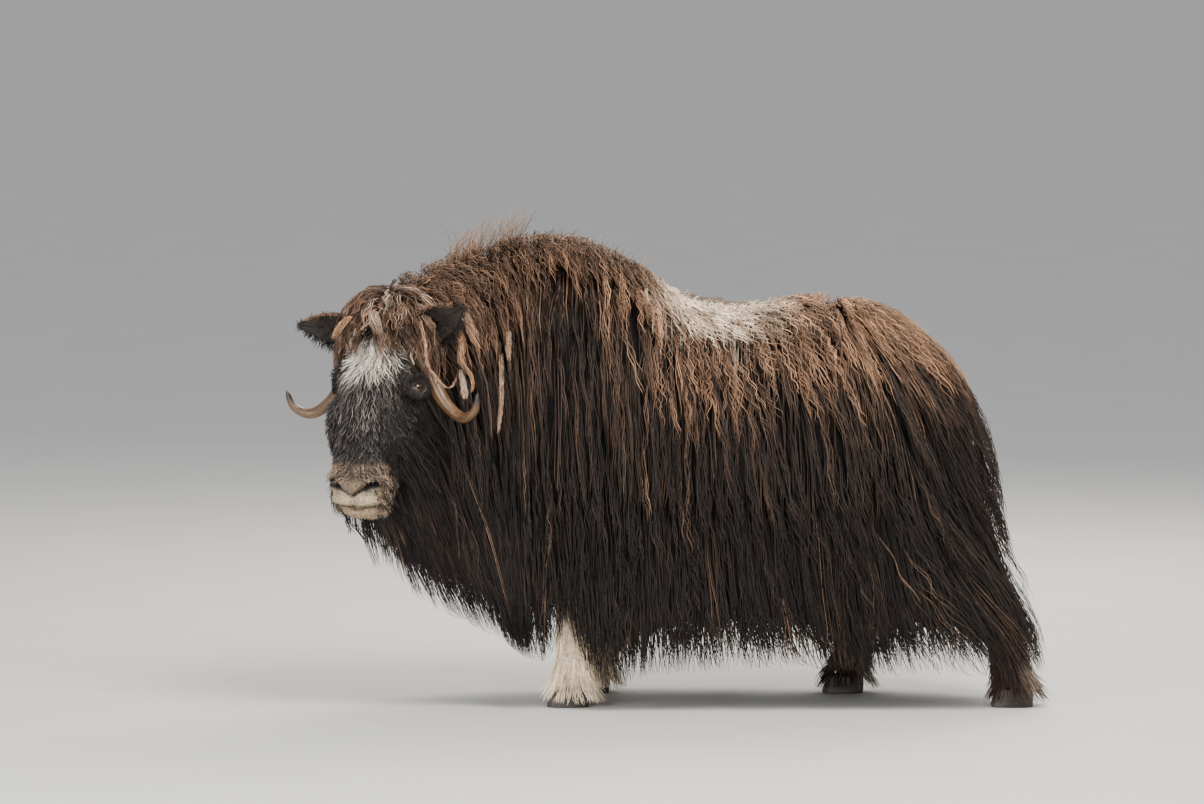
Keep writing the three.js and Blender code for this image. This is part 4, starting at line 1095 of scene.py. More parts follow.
class MUSKOX_OT_trunk_coat(bpy.types.Operator):
    """Grow the long coat of the trunk, lock by lock"""

    bl_idname = "muskox.trunk_coat"
    bl_label = "Trunk coat"

    def execute(self, context):
        sizes = context.scene.muskox_sizes
        shades = palette()
        material = hair_finish("long_hair")
        wave, width = sizes.wave, sizes.hair_width
        # The under layer's ends are darkened: painted shade deep in the coat.
        under = {
            **{"segments": 4, "depth": (0.40, 0.75), "stray": 0.02, "waves": 1.5, "amp": wave},
            **{"width": 0.034, "thick": width * 1.8, "gather": 0.3, "fade": 1.3, "deep_shade": 0.45},
            "length": lambda q: 0.60 + 0.40 * smooth(q, 0.6, 1.1),
            "drift": lambda u: 0.03 * smooth(u, 0.0, 0.4) + 0.14 * fade(u, -0.80, -0.45),
        }
        upper = {
            **{"segments": 10, "depth": (0.80, 1.02), "stray": 0.012, "waves": 3.0, "amp": wave},
            **{"width": sizes.lock_width, "thick": width, "gather": 0.5, "fade": 1.1, "loose": 0.3},
            "shade_at": 0.75,
            "length": lambda q: 0.36 + 0.10 * smooth(q, 0.2, 0.9),
            "drift": lambda u: 0.05 * smooth(u, -0.1, 0.35) + 0.02,
        }
        lower = upper | {
            **{"segments": 6, "reach": (1.90, 2.05), "low_bias": True, "waves": 1.8, "amp": wave * 0.8},
            **{"width": sizes.lock_width * 1.3, "thick": width * 0.85, "gather": 0.15, "fade": 0.8},
            **{"loose": 0.5, "shade_at": 0.5, "uneven": 0.06, "splay": 0.020, "length": 0.74},
            "drift": lambda u: 0.05 * smooth(u, -0.1, 0.35) + 0.02 + 0.20 * fade(u, -0.80, -0.45),
        }
        golden = upper | {
            **{"segments": 16, "depth": (0.98, 1.05), "stray": 0.02, "waves": 3.6, "amp": wave * 1.25},
            **{"width": 0.007, "thick": width * 0.75, "gather": 0.3, "fade": 0.9, "loose": 0.2},
            **{"shade_at": 0.45, "rise": 5.0, "gild": 0.55, "length": 0.25},
        }
        ends = golden | {"segments": 12, "depth": (0.96, 1.04), "waves": 2.2, "gild": 0.20, "length": 0.40}
        self.under_wool(shades)
        left, right = SIDE_WAY, SIDE_WAY + RUMP_WAY
        parts = {
            "left_front": (0.0, left * 0.5),
            "left_rear": (left * 0.5, left),
            "rump_left": (left, left + RUMP_WAY / 2),
            "rump_right": (left + RUMP_WAY / 2, right),
            "right_rear": (right, right + left * 0.5),
            "right_front": (right + left * 0.5, right + left),
            "chest": (right + left, WAY),
        }
        for index, (name, ways) in enumerate(parts.items()):
            share = (ways[1] - ways[0]) / SIDE_WAY
            share *= FAR_SHARE if "right" in name else 1.0
            rng = np.random.default_rng([sizes.seed, index])
            hairs = trunk_hair(rng, amount(290 * share), 3, ways, (-0.10, 1.40), under, shades)
            if name != "chest":
                trunk_hair(rng, amount(450 * share), 4, ways, (-0.10, 1.05), upper, shades, hairs)
            trunk_hair(rng, amount(500 * share), 5, ways, (0.85, 1.60), lower, shades, hairs)
            if name in GOLDEN_LEVELS:
                trunk_hair(rng, amount(210 * share), 3, ways, GOLDEN_LEVELS[name], golden, shades, hairs)
            if "left" in name:
                trunk_hair(rng, amount(44 * share), 3, ways, (1.15, 1.65), ends, shades, hairs)
            settle(hairs.mesh("coat_" + name, material))
        return {"FINISHED"}

    def under_wool(self, shades):
        """The dense soft wool behind the long hair, a closed skirt with a ragged lower edge."""

        def place(u, v):
            way = u * WAY
            low = 0.40 + 0.020 * np.sin(31 * u * 2 * np.pi) + 0.016 * np.sin(73 * u * 2 * np.pi + 1.3)
            turn = 2 * np.pi * v
            q = 1.38 - np.where(np.cos(turn) > 0, 0.36, low) * np.cos(turn)
            depth = 0.34 + 0.08 * np.sin(turn) + 0.02 * np.sin(57 * u * 2 * np.pi)
            at, _ = coat_place(way, q, -0.06 + (depth + 0.06) * smooth(q, 1.0, 1.4))
            return at

        wool = shaped_grid("under_wool", 300, 24, place)
        made = Finish("soft_wool", 0.85, 0.1)
        strands = made.noise(90, 4, at=made.stretched((1, 1, 0.08)))
        dark, light = tuple(shades["black_brown"] * 0.7), tuple(shades["brown"] * 0.9)
        made.put("Base Color", made.mix(made.ramp(strands, 0.35, 0.75), dark, light))
        made.bump(strands, 0.9, 0.006)
        complete(wool, made.material)


# Wisps of the crest: their number, the ends of their row along the spine and their height
WISPS = ((170, -0.66, -0.46, 0.111), (170, -0.72, -0.12, 0.050), (120, -0.05, 0.38, 0.024))


class MUSKOX_OT_mane(bpy.types.Operator):
    """Grow the bushy mane, the curly saddle and the wisps of the hump"""

    bl_idname = "muskox.mane"
    bl_label = "Mane and saddle"

    def execute(self, context):
        sizes = context.scene.muskox_sizes
        shades = palette()
        material = hair_finish("curly_hair", 0.6, 0.3)
        rng = np.random.default_rng([sizes.seed, 50])
        left, right = SIDE_WAY, SIDE_WAY + RUMP_WAY
        curls = {
            **{"segments": 11, "length": 0.22, "depth": (0.86, 1.05), "stray": 0.014, "waves": 2.8},
            **{"amp": 0.0045, "width": 0.011, "thick": sizes.hair_width, "gather": 0.5, "fade": 1.4},
            **{"rise": 4.5, "fuzz": 0.06, "loose": 0.3, "shade_at": 0.1},
            "drift": lambda u: 0.03 + 0.03 * smooth(u, -0.5, -0.1),
        }
        wool = curls | {
            **{"segments": 14, "length": 0.17, "stray": 0.022, "waves": 3.0, "amp": 0.0070, "width": 0.006},
            **{"thick": sizes.hair_width * 0.85, "gather": 0.4, "fade": 0.7, "fuzz": 0.08, "loose": 0.15},
            "shade_at": 0.35,
        }

        def mane_levels(way):
            edge = np.interp(around(way)[0], *MANE_EDGE)
            return -0.12 + 0 * edge, np.maximum(0.0, edge - 0.20)

        for name, share in (("left", 1.0), ("right", FAR_SHARE)):
            ways = {"mane": (0.0, MANE_END), "saddle": (MANE_END - 0.05, SADDLE_END)}
            if name == "right":
                ways = {key: (right + left - b, right + left - a) for key, (a, b) in ways.items()}
            hairs = trunk_hair(rng, amount(480 * share), 3, ways["mane"], mane_levels, curls, shades)
            settle(hairs.mesh("mane_" + name, material))
            hairs = trunk_hair(rng, amount(270 * share), 3, ways["saddle"], (-0.15, 0.27), wool, shades)
            settle(hairs.mesh("saddle_" + name, material))
        self.wisps(rng, shades, material)
        return {"FINISHED"}

    def wisps(self, rng, shades, material):
        """Thin hairs that stand up along the crest, tallest over the hump."""
        hairs = Strands()
        for count, low, high, tall in WISPS:
            n = amount(count)
            t = np.linspace(0, 1, 7)[None]
            u = rng.uniform(low, high, n)
            way = u - FRONT
            q = np.abs(rng.normal(0, 0.05, n))
            u_in = np.minimum(u, RUMP)
            root, _ = coat_place(u_in - FRONT, q * rng.choice([-1, 1], n), np.full(n, 0.75))
            root[:, 0] += u - u_in
            height = tall * rng.uniform(0.45, 1.15, n)
            lean = rng.normal(0.25, 0.35, n)
            aside = rng.normal(0, 0.2, n)
            phase = rng.uniform(0, 2 * np.pi, n)
            paths = np.repeat(root[:, None], t.shape[1], 1)
            tall, turn = height[:, None], phase[:, None]
            paths[..., 0] += tall * lean[:, None] * t**1.5 + 0.006 * np.sin(7 * t + turn) * t
            paths[..., 1] += tall * aside[:, None] * t + 0.006 * np.cos(6 * t + turn) * t
            paths[..., 2] += tall * (t - 0.12 * t**3)
            _, tip = trunk_shade(way, q, rng.random(n), shades)
            colour = lerp(tip[:, None] * 0.8, tip[:, None] * 1.5, t)
            spot = np.stack([0.01 + 0.95 * way / WAY, 0.01 + 0.3 * q], -1)
            hairs.add(paths, np.array([1.0, 0, 0]), 0.0022 * rng.uniform(0.7, 1.3, n), colour, spot)
        settle(hairs.mesh("crest_wisps", material))


class MUSKOX_OT_face_hair(bpy.types.Operator):
    """Grow the short hair of the face and muzzle"""

    bl_idname = "muskox.face_hair"
    bl_label = "Face hair"

    def execute(self, context):
        sizes = context.scene.muskox_sizes
        shades = palette()
        tree = skin_tree()
        material = hair_finish("face_hair", 0.5, 0.45)
        rng = np.random.default_rng([sizes.seed, 70])
        eye = np.array(EYE["at"])

        def far_from_eyes(h):
            mirrored = np.stack([h[:, 0], np.abs(h[:, 1]), h[:, 2]], -1)
            return np.linalg.norm(mirrored - eye, axis=1)

        def face_chance(p, n):
            """How close the curls are: closest on nose, forehead and temples and round the eyes."""
            h = to_head(p)
            pad, hole, lip, chin, line = muzzle_zones(h)
            bare = np.clip(pad + hole + line + lip + chin, 0, 1)
            inside = (h[:, 0] > -0.10) & (h[:, 2] < 0.15) & (h[:, 2] > -0.33)
            behind = smooth(h[:, 0] - (-0.11 - 0.35 * (h[:, 2] + 0.1)), -0.02, 0.03)
            close = 1 + fade(far_from_eyes(h), 0.03, 0.06) + 0.7 * smooth(-h[:, 2], 0.15, 0.19)
            middle = fade(np.abs(h[:, 1]), 0.015, 0.045)
            close = close + 1.6 * middle * smooth(h[:, 2], 0.02, 0.06) * (h[:, 2] < 0.14)
            temple = (np.abs(h[:, 1]) < 0.095) * (h[:, 0] > 0.0) * (h[:, 2] < 0.02)
            close = close + 0.9 * (1 - middle) * temple
            return inside * behind * (1 - bare) * (far_from_eyes(h) > 0.0245) * close

        def flow_of(h):
            """Hair runs down the face from the middle of the forehead and out over the cheeks."""
            side = np.sign(h[:, 1] - 0.008)
            across = np.abs(h[:, 1] - 0.008)
            tuft = smooth(h[:, 2], 0.02, 0.11)
            out = side * (0.25 * smooth(across, 0.0, 0.05) + tuft * 1.3 * smooth(across, 0.004, 0.07))
            down = np.stack([0.30 + 0 * across, out, -1 + 0 * across], -1)
            cheek = smooth(across, 0.04, 0.12) * smooth(-h[:, 2], 0.0, 0.1)
            down[:, 0] -= 0.7 * cheek
            muzzle = smooth(-h[:, 2], 0.175, 0.21) * smooth(h[:, 0], 0.06, 0.10)
            down[:, 1] += muzzle * side
            brow = np.exp(-((far_from_eyes(h) / 0.05) ** 2)) * (h[:, 2] > 0)
            down[:, 1] += brow * 0.5 * side
            return head_way(down)

        def shades_of(h):
            """Painted grey sheen on the tips of the dark face's hair, strongest on its front and upper part,
            the white tuft on the forehead and tan curls over the nose.
            """
            draw = rng.random(len(h))
            grey = np.array([0.42, 0.36, 0.33])
            white = np.array([1.0, 0.91, 0.79]) * 1.35
            dark = shades["black_brown"] * 2.0
            front = fade(np.abs(h[:, 1]), 0.050, 0.100)
            # Painted sheen: grey tips on the front and upper face, and a darker grey on the sides.
            grey_sheen = front * (0.10 + 1.0 * draw**2.4) * (0.35 + 0.65 * smooth(h[:, 2], -0.20, 0.0))
            tip = lerp(dark, grey, np.clip(grey_sheen, 0, 1))
            tip = lerp(tip, grey * 0.45, (1 - front) * draw**4 * 0.8)
            tuft = np.exp(-(((h[:, 1] - 0.004) / 0.062) ** 4)) * smooth(h[:, 2], 0.030, 0.085)
            tip = lerp(tip, white, np.clip(tuft * (0.5 + 0.9 * draw), 0, 1))
            nose = nose_curls(h)
            tip = lerp(tip, shades["tan"] * (0.6 + 0.9 * draw[:, None]), np.clip(nose * 1.2, 0, 1))
            corner = smooth(-h[:, 2], 0.20, 0.25) * (1 - front) * smooth(h[:, 0], 0.0, 0.05)
            tip = lerp(tip, shades["tan"] * 1.1, np.clip(corner * (0.1 + 1.2 * draw), 0, 1))
            # Roots of the tuft and the nose curls are much darker than their tips: painted shade in the gaps
            # between locks.
            root = lerp(shades["black_brown"] * 0.7, tip * 0.30, np.clip(tuft * 0.9 + nose, 0, 1))
            return root, tip

        hairs = Strands()
        roots, normals = skin_roots(rng, amount(5000), face_chance)
        h = to_head(roots)
        root, tip = shades_of(h)
        size = 0.019 + 0.034 * smooth(h[:, 2], -0.22, 0.02) * fade(np.abs(h[:, 1]), 0.06, 0.1)
        nose = smooth(-h[:, 2], 0.165, 0.205)
        look = {
            **{"segments": 6, "lift": 0.0085, "sunk": 0.002, "clear": 0.0035, "lock": 0.014},
            **{"waves": 1.5, "amp": 0.0026, "bend": 0.5, "vary": 0.30, "fade": 1.2},
            "length": size * (0.35 + 0.65 * smooth(far_from_eyes(h), 0.022, 0.060)),
            "thick": 0.0030 - 0.0006 * nose - 0.0010 * fade(far_from_eyes(h), 0.03, 0.06),
        }
        pelt(rng, hairs, roots, normals, flow_of(h), look, root, tip, head_spot(h), tree)
        settle(hairs.mesh("face_fur", material))

        hairs = Strands()
        roots, normals = skin_roots(rng, amount(1200), lambda p, n: self.muzzle_chance(p))
        h = to_head(roots)
        pad, hole, lip, chin, line = muzzle_zones(h)
        pad_tone, lip_tone, chin_tone = (np.array(NOSE_TONES[key]) * 1.1 for key in ("pad", "lip", "chin"))
        tip = lerp(pad_tone, lip_tone, np.clip(lip * 2, 0, 1))
        tip = lerp(tip, chin_tone, np.clip(chin * 2, 0, 1))
        look = {
            **{"segments": 3, "length": 0.0075, "lift": 0.0016, "sunk": 0.001, "clear": 0.0008},
            **{"lock": 0.006, "waves": 0.4, "amp": 0.0004, "bend": 0.5, "thick": 0.0011, "vary": 0.18},
            "fade": 1.0,
        }
        pelt(rng, hairs, roots, normals, flow_of(h), look, tip * 0.75, tip, head_spot(h))
        settle(hairs.mesh("muzzle_fur", material))
        return {"FINISHED"}

    def muzzle_chance(self, p):
        """Where the lips' and the chin's very short hair grows."""
        pad, hole, lip, chin, line = muzzle_zones(to_head(p))
        clear = (1 - np.clip(2 * hole + line, 0, 1)) * (pad < 0.3)
        return near_muzzle(to_head(p)) * np.clip(lip + chin, 0, 1) * clear


def head_hair(rng, hairs, place, count, per_lock, look, root, tip):
    """Locks along the paths that place(idx, t, rng) gives, with their ways out, for the lock of each hair."""
    t = np.linspace(0, 1, look["segments"] + 1)[None]
    idx = np.repeat(np.arange(count), per_lock)
    n = len(idx)
    paths, out = place(idx, t, rng)
    phase = rng.uniform(0, 2 * np.pi, (2, count))[:, idx] + rng.normal(0, 0.22, (2, n))
    waves = (look["waves"] * rng.uniform(0.8, 1.2, count))[idx, None]
    amp = (look["amp"] * rng.uniform(0.6, 1.4, count))[idx, None]
    ahead = unit(np.gradient(paths, axis=1))
    across = unit(np.cross(ahead, out))
    grow = np.minimum(1, 3 * t)
    loose = rng.normal(0, look["width"] / 2, (2, n, 1)) * (1 - look["gather"] * t**0.8)
    swing = amp * np.sin(2 * np.pi * waves * t + phase[0][:, None]) * grow + loose[0]
    bob = 0.7 * amp * np.cos(2 * np.pi * waves * t + phase[1][:, None]) * grow + 0.6 * loose[1]
    paths = paths + across * swing[..., None] + out * bob[..., None]
    strength = lambda: rng.lognormal(0, 0.2, count)[idx] * rng.lognormal(0, 0.25, n)
    colour = hair_colours(rng, root[idx], tip[idx], t ** look["fade"], strength)
    hairs.add(paths, out, look["thick"] * rng.uniform(0.7, 1.3, n), colour, head_spot(to_head(paths[:, 0])))


# Length of the beard's hair under the jaw, from its rear to the chin
BEARD_FALL = ([-0.14, -0.08, -0.02, 0.03, 0.06, 0.09], [0.30, 0.27, 0.21, 0.14, 0.080, 0.055])


class MUSKOX_OT_cap(bpy.types.Operator):
    """Grow the shaggy cap of the head and the hair under the jaw"""

    bl_idname = "muskox.cap"
    bl_label = "Cap and beard"

    def execute(self, context):
        sizes = context.scene.muskox_sizes
        shades = palette()
        material = hair_finish("cap_hair", 0.6, 0.3)
        rng = np.random.default_rng([sizes.seed, 90])
        tree = skin_tree()
        centre, core, coat = (np.array(CAP[key]) for key in ("at", "core", "coat"))

        count = amount(520)
        azimuth = rng.uniform(-np.pi, np.pi, count)
        polar = np.degrees(np.arccos(rng.uniform(np.cos(np.radians(88)), 1, count)))
        polar = polar - 16  # the crown's locks start beyond the middle, so that no whorl opens there
        front = np.clip(np.cos(azimuth), 0, 1)
        reach = rng.uniform(34, 52, count)
        flanks = np.exp(-(((np.abs(azimuth) - 1.35) / 0.42) ** 2))
        limit = 101 + 11 * (1 - front) + 22 * (np.cos(azimuth) < -0.2) + 22 * flanks
        stop = np.minimum(polar + reach + 30 * flanks, limit + rng.uniform(-10, 4, count))
        polar = np.minimum(polar, stop - 18)
        polar = np.maximum(polar, stop - 60 - 25 * flanks)
        deep = rng.uniform(0.55, 1.02, count) + 0.12 * flanks
        part = np.radians(8) * np.sign(azimuth - 0.05) * front

        def cap_place(idx, t, rng):
            jitter = rng.normal(0, 0.022, len(idx))[:, None]
            a = azimuth[idx, None] + jitter + part[idx, None] * t
            p = np.radians(polar[idx, None] + (stop - polar)[idx, None] * t)
            depth = -0.05 + deep[idx, None] * (1 - (1 - t) ** 3)
            wide = np.sin(np.minimum(p, 1.5))
            way = np.stack([wide * np.cos(a), wide * np.sin(a), np.cos(p)], -1)
            at = centre + way * (core + (coat - core) * depth[..., None])
            return from_head(at), head_way(way)

        draw = rng.random(count)
        crown = fade(polar, 20, 70)
        tip = lerp(shades["red_brown"] * 0.6, shades["ginger"] * 0.60, np.clip(0.1 + draw, 0, 1))
        tip = lerp(tip, shades["golden"] * 0.70, np.clip((0.3 + 0.4 * crown) * draw**2.6 * 1.2, 0, 1))
        tip = lerp(tip, shades["grey_wool"] * 1.3, (draw > 0.9) * 0.8)
        tip = lerp(tip, shades["red_brown"] * (0.5 + 0.9 * draw[:, None]), flanks * smooth(stop, 100, 122))
        # Dark roots: partly the hair's own colour, partly painted shade deep in the cap.
        root = tip * 0.22
        hairs = Strands()
        look = {"segments": 11, "waves": 2.6, "amp": 0.0042, "width": 0.011, "gather": 0.5, "thick": 0.0040}
        look["fade"] = 1.1
        head_hair(rng, hairs, cap_place, count, 3, look, root, tip)
        settle(hairs.mesh("cap_hair", material))

        hairs = Strands()
        count = amount(360)
        roots, normals = skin_roots(rng, count, self.jaw_chance)
        h = to_head(roots)
        under = smooth(-normals[:, 2], -0.1, 0.4)
        fall = np.interp(h[:, 0], *BEARD_FALL)
        fall = (0.075 + (fall - 0.075) * under) * rng.uniform(0.7, 1.15, count)
        sway = rng.normal(0, 0.10, (count, 3))
        way = np.stack([-0.25 - 0.45 * (1 - under), 0.06 * np.sign(h[:, 1]) + 0.30, -1 + 0 * under], -1)
        way = head_way(way + sway)

        def jaw_place(idx, t, rng):
            n = normals[idx]
            base = roots[idx][:, None] - 0.004 * n[:, None]
            lift = 0.014 * (1 - np.exp(-4 * t)) * rng.uniform(0.4, 1.2, len(idx))[:, None]
            at = base + n[:, None] * lift[..., None] + way[idx][:, None] * (fall[idx, None] * t)[..., None]
            return at, unit(n * np.array([1, 1, 0.2]) + 1e-3)[:, None]

        draw = rng.random(count)
        tip = lerp(shades["black_brown"] * 1.3, shades["brown"], draw**2)
        tip = lerp(tip, shades["red_brown"] * 1.2, (draw > 0.93).astype(float))
        look = {"segments": 7, "waves": 1.4, "amp": 0.0035, "width": 0.014, "gather": 0.4, "thick": 0.0032}
        look["fade"] = 1.0
        root = np.repeat(shades["black_brown"][None], count, 0)
        head_hair(rng, hairs, jaw_place, count, 5, look, root, tip)
        settle(hairs.mesh("beard", material))
        return {"FINISHED"}

    def jaw_chance(self, p, n):
        """Where the beard grows: the underside of the head and the rear of the cheeks."""
        h = to_head(p)
        under = smooth(-n[:, 2], -0.2, 0.3) * (h[:, 2] < -0.10)
        cheek = (np.abs(h[:, 1]) > 0.05) * (h[:, 0] < 0.045 - 0.25 * (h[:, 2] + 0.2)) * (h[:, 2] < 0.06)
        muzzle = np.linalg.norm(h - np.array([0.12, 0, -0.28]), axis=1) < 0.070
        head = (np.linalg.norm(h - np.array([0, 0, -0.12]), axis=1) < 0.30) & (h[:, 2] > -0.36)
        behind = h[:, 0] > -0.20
        return (np.maximum(under, cheek) > 0.3) * (~muzzle) * head * behind


class MUSKOX_OT_ears(bpy.types.Operator):
    """Model the two cupped ears and their fringes"""

    bl_idname = "muskox.ears"
    bl_label = "Ears"

    def execute(self, context):
        sizes = context.scene.muskox_sizes
        shades = palette()
        skin = self.finish()
        hair = hair_finish("ear_hair", 0.6, 0.3)
        for word, side in WORDS:
            rng = np.random.default_rng([sizes.seed, 110 + side])
            root = np.array(EAR["root"]) * (1, side, 1)
            tip = np.array(EAR[word]) * (1, side, 1)
            length = np.linalg.norm(tip - root)
            ahead = (tip - root) / length
            facing = np.array([0.86, 0, -0.5])
            facing = unit(facing - ahead * (facing @ ahead))
            across = np.cross(ahead, facing)

            def leaf(t, turn, wall=0.0):
                """t goes from root to tip, turn from rim (-1) over the cup's back (0) to rim (1)."""
                belly = np.sin(np.pi * (0.16 + 0.72 * t)) ** 1.2
                width = (0.044 - wall) * (0.45 + 0.75 * belly) * (1 - np.clip(t, 0, 1) ** 3)
                angle = turn * np.radians(118 - 30 * t)
                deep = 0.022 * (1 - 0.5 * t) * (1 - np.clip(t, 0, 1) ** 4) + 0.002 - wall * 0.5
                lift = 0.008 * np.sin(np.pi * t) - 0.004
                middle = root + ahead * (length * t)[..., None] + facing * lift[..., None]
                aside, behind = width * np.sin(angle), deep * np.cos(angle)
                return middle + across * aside[..., None] - facing * behind[..., None]

            sheet = lambda u, v: from_head(leaf(-0.06 + 1.05 * v, 2 * u - 1))
            ear = shaped_grid("ear_" + word + "_cup", 22, 26, sheet)
            modify(ear, "SOLIDIFY", thickness=0.0035, offset=0.0)
            modify(ear, "SUBSURF", levels=1)
            tidy(ear)
            complete(ear, skin, ["ear_" + word])
            self.fringe(rng, word, side, leaf, ahead, facing, across, shades, hair)
        return {"FINISHED"}

    def finish(self):
        """Dark, finely creased skin."""
        made = Finish("ear_skin", 0.6, 0.3)
        fine = made.noise(240, 4)
        dark, light = (0.012, 0.009, 0.008), (0.045, 0.032, 0.026)
        made.put("Base Color", made.mix(made.ramp(fine, 0.35, 0.75), dark, light))
        made.bump(made.noise(420, 3), 0.6, 0.0015)
        return made.material

    def fringe(self, rng, word, side, leaf, ahead, facing, across, shades, material):
        """Short hair over the back of the ear, longer hair along its rims and inside it."""
        hairs = Strands()
        groups = (("back", 320, 0.018, 0.0026), ("rim", 420, 0.030, 0.0026), ("inside", 420, 0.034, 0.0024))
        for kind, count, length, thick in groups:
            n = amount(count)
            s = np.linspace(0, 1, 5)[None]
            t = rng.uniform(0.02, 0.97, n) if kind != "inside" else rng.uniform(0.05, 0.6, n)
            turn = rng.uniform(-1, 1, n)
            if kind == "rim":
                turn = np.sign(turn) * rng.uniform(0.93, 1.0, n)
            elif kind == "inside":
                turn = turn * 0.8
            at = leaf(t, turn)
            outward = unit(at - leaf(t, 0 * turn, 0.03))
            back = unit(across * np.sin(turn * 2)[:, None] - facing * np.cos(turn * 2)[:, None])
            ways = {"back": ahead + back * 0.35, "rim": ahead * 0.55 + outward * 0.9}
            way = unit(ways.get(kind, ahead * 0.8 + facing * 0.9) + rng.normal(0, 0.22, (n, 3)))
            start = at + back * (0.001 if kind == "back" else 0.0)
            size = length * rng.uniform(0.6, 1.3, n) * (1 - 0.5 * t)
            bend = rng.normal(0, 0.25, (n, 3))
            paths = start[:, None] + way[:, None] * (size[:, None] * s)[..., None]
            paths = paths + bend[:, None] * (size[:, None] * s**2)[..., None]
            paths[..., 2] -= 0.3 * size[:, None] * s**2
            upper = (turn < 0) if side > 0 else (turn > 0)
            tip = np.repeat(shades["black_brown"][None] * 2.0, n, 0)
            if kind == "rim":
                tip = lerp(tip, shades["ginger"] * 1.1, upper * (t < 0.85) * (rng.random(n) > 0.25))
            colour = lerp(tip[:, None] * 0.5, tip[:, None], s)
            spot = np.stack([0.05 + 0.4 * (turn + 1), 0.05 + 0.9 * t], -1)
            out = head_way(facing if kind == "inside" else back)
            hairs.add(from_head(paths), out, thick * rng.uniform(0.7, 1.3, n), colour, spot)
        settle(hairs.mesh("ear_hair_" + word, material))


class MUSKOX_OT_horns(bpy.types.Operator):
    """Model the two hooked horns"""

    bl_idname = "muskox.horns"
    bl_label = "Horns"

    def execute(self, context):
        finish = self.finish()
        for word, side in WORDS:
            points = HORN_LINE * (1, side, 1)
            points[3:, 2] += HORN_LIFT[word] * np.array([0.3, 0.6, 1.0, 1.2])
            line = lambda t: from_head(curve_through(points, t))

            def radius(t):
                ridges = 0.0007 * np.sin(70 * t) * fade(t, 0.15, 0.45)
                r = np.interp(t, *HORN_RADII) + ridges
                r = r * np.sqrt(np.clip(1 - smooth(t, 0.93, 1.0) ** 2 * 0.92, 0, 1))
                return r, r * 0.92

            horn = tube("horn_" + word + "_sheath", line, radius, 36, 90, sideways=head_way([1.0, 0, 0]))
            modify(horn, "SUBSURF", levels=1)
            p = to_head(corners(horn))
            samples = np.linspace(0, 1, 200)
            middle = curve_through(points, samples)
            along = samples[np.argmin(((p[:, None] - middle[None]) ** 2).sum(-1), axis=1)]
            ring = unit(p - curve_through(points, along)) * 0.5
            ring[:, 2] = along * 2.0 + ring[:, 2] * 0.02
            point_values(horn.data, "along", "FLOAT", along)
            point_values(horn.data, "grain", "FLOAT_VECTOR", ring)
            complete(horn, finish, ["horn_" + word])
        return {"FINISHED"}

    def finish(self):
        """Amber streaks along the horn, greyer at the root and black at the tip."""
        made = Finish("amber_horn", 0.38, 0.5, coat=0.12)
        along = made.attribute("along")
        grain = made.node("ShaderNodeAttribute", {"attribute_name": "grain"}, output=1)
        stretch = made.node("ShaderNodeMapping", None, {"Vector": grain, "Scale": (9, 9, 1.2)})
        streaks = made.noise(1.6, 5, 0.6, at=stretch)
        blotch = made.noise(30, 3)
        base = made.mix(made.ramp(streaks, 0.3, 0.72), (0.055, 0.027, 0.012), (0.200, 0.110, 0.048))
        base = made.mix(made.ramp(blotch, 0.45, 0.75) * 0.45, base, (0.055, 0.028, 0.013))
        base = made.mix(made.ramp(along, 0.34, 0.05) * 0.65, base, (0.12, 0.078, 0.048))
        base = made.mix(made.ramp(along, 0.84, 0.95), base, (0.018, 0.015, 0.014))
        made.put("Base Color", base)
        made.put("Roughness", made.ramp(streaks, 0.2, 0.8) * 0.2 + made.ramp(along, 0.4, 0.0) * 0.2 + 0.28)
        made.bump(streaks * 0.7 + made.noise(70, 3) * 0.3, 0.35, 0.0012)
        return made.material


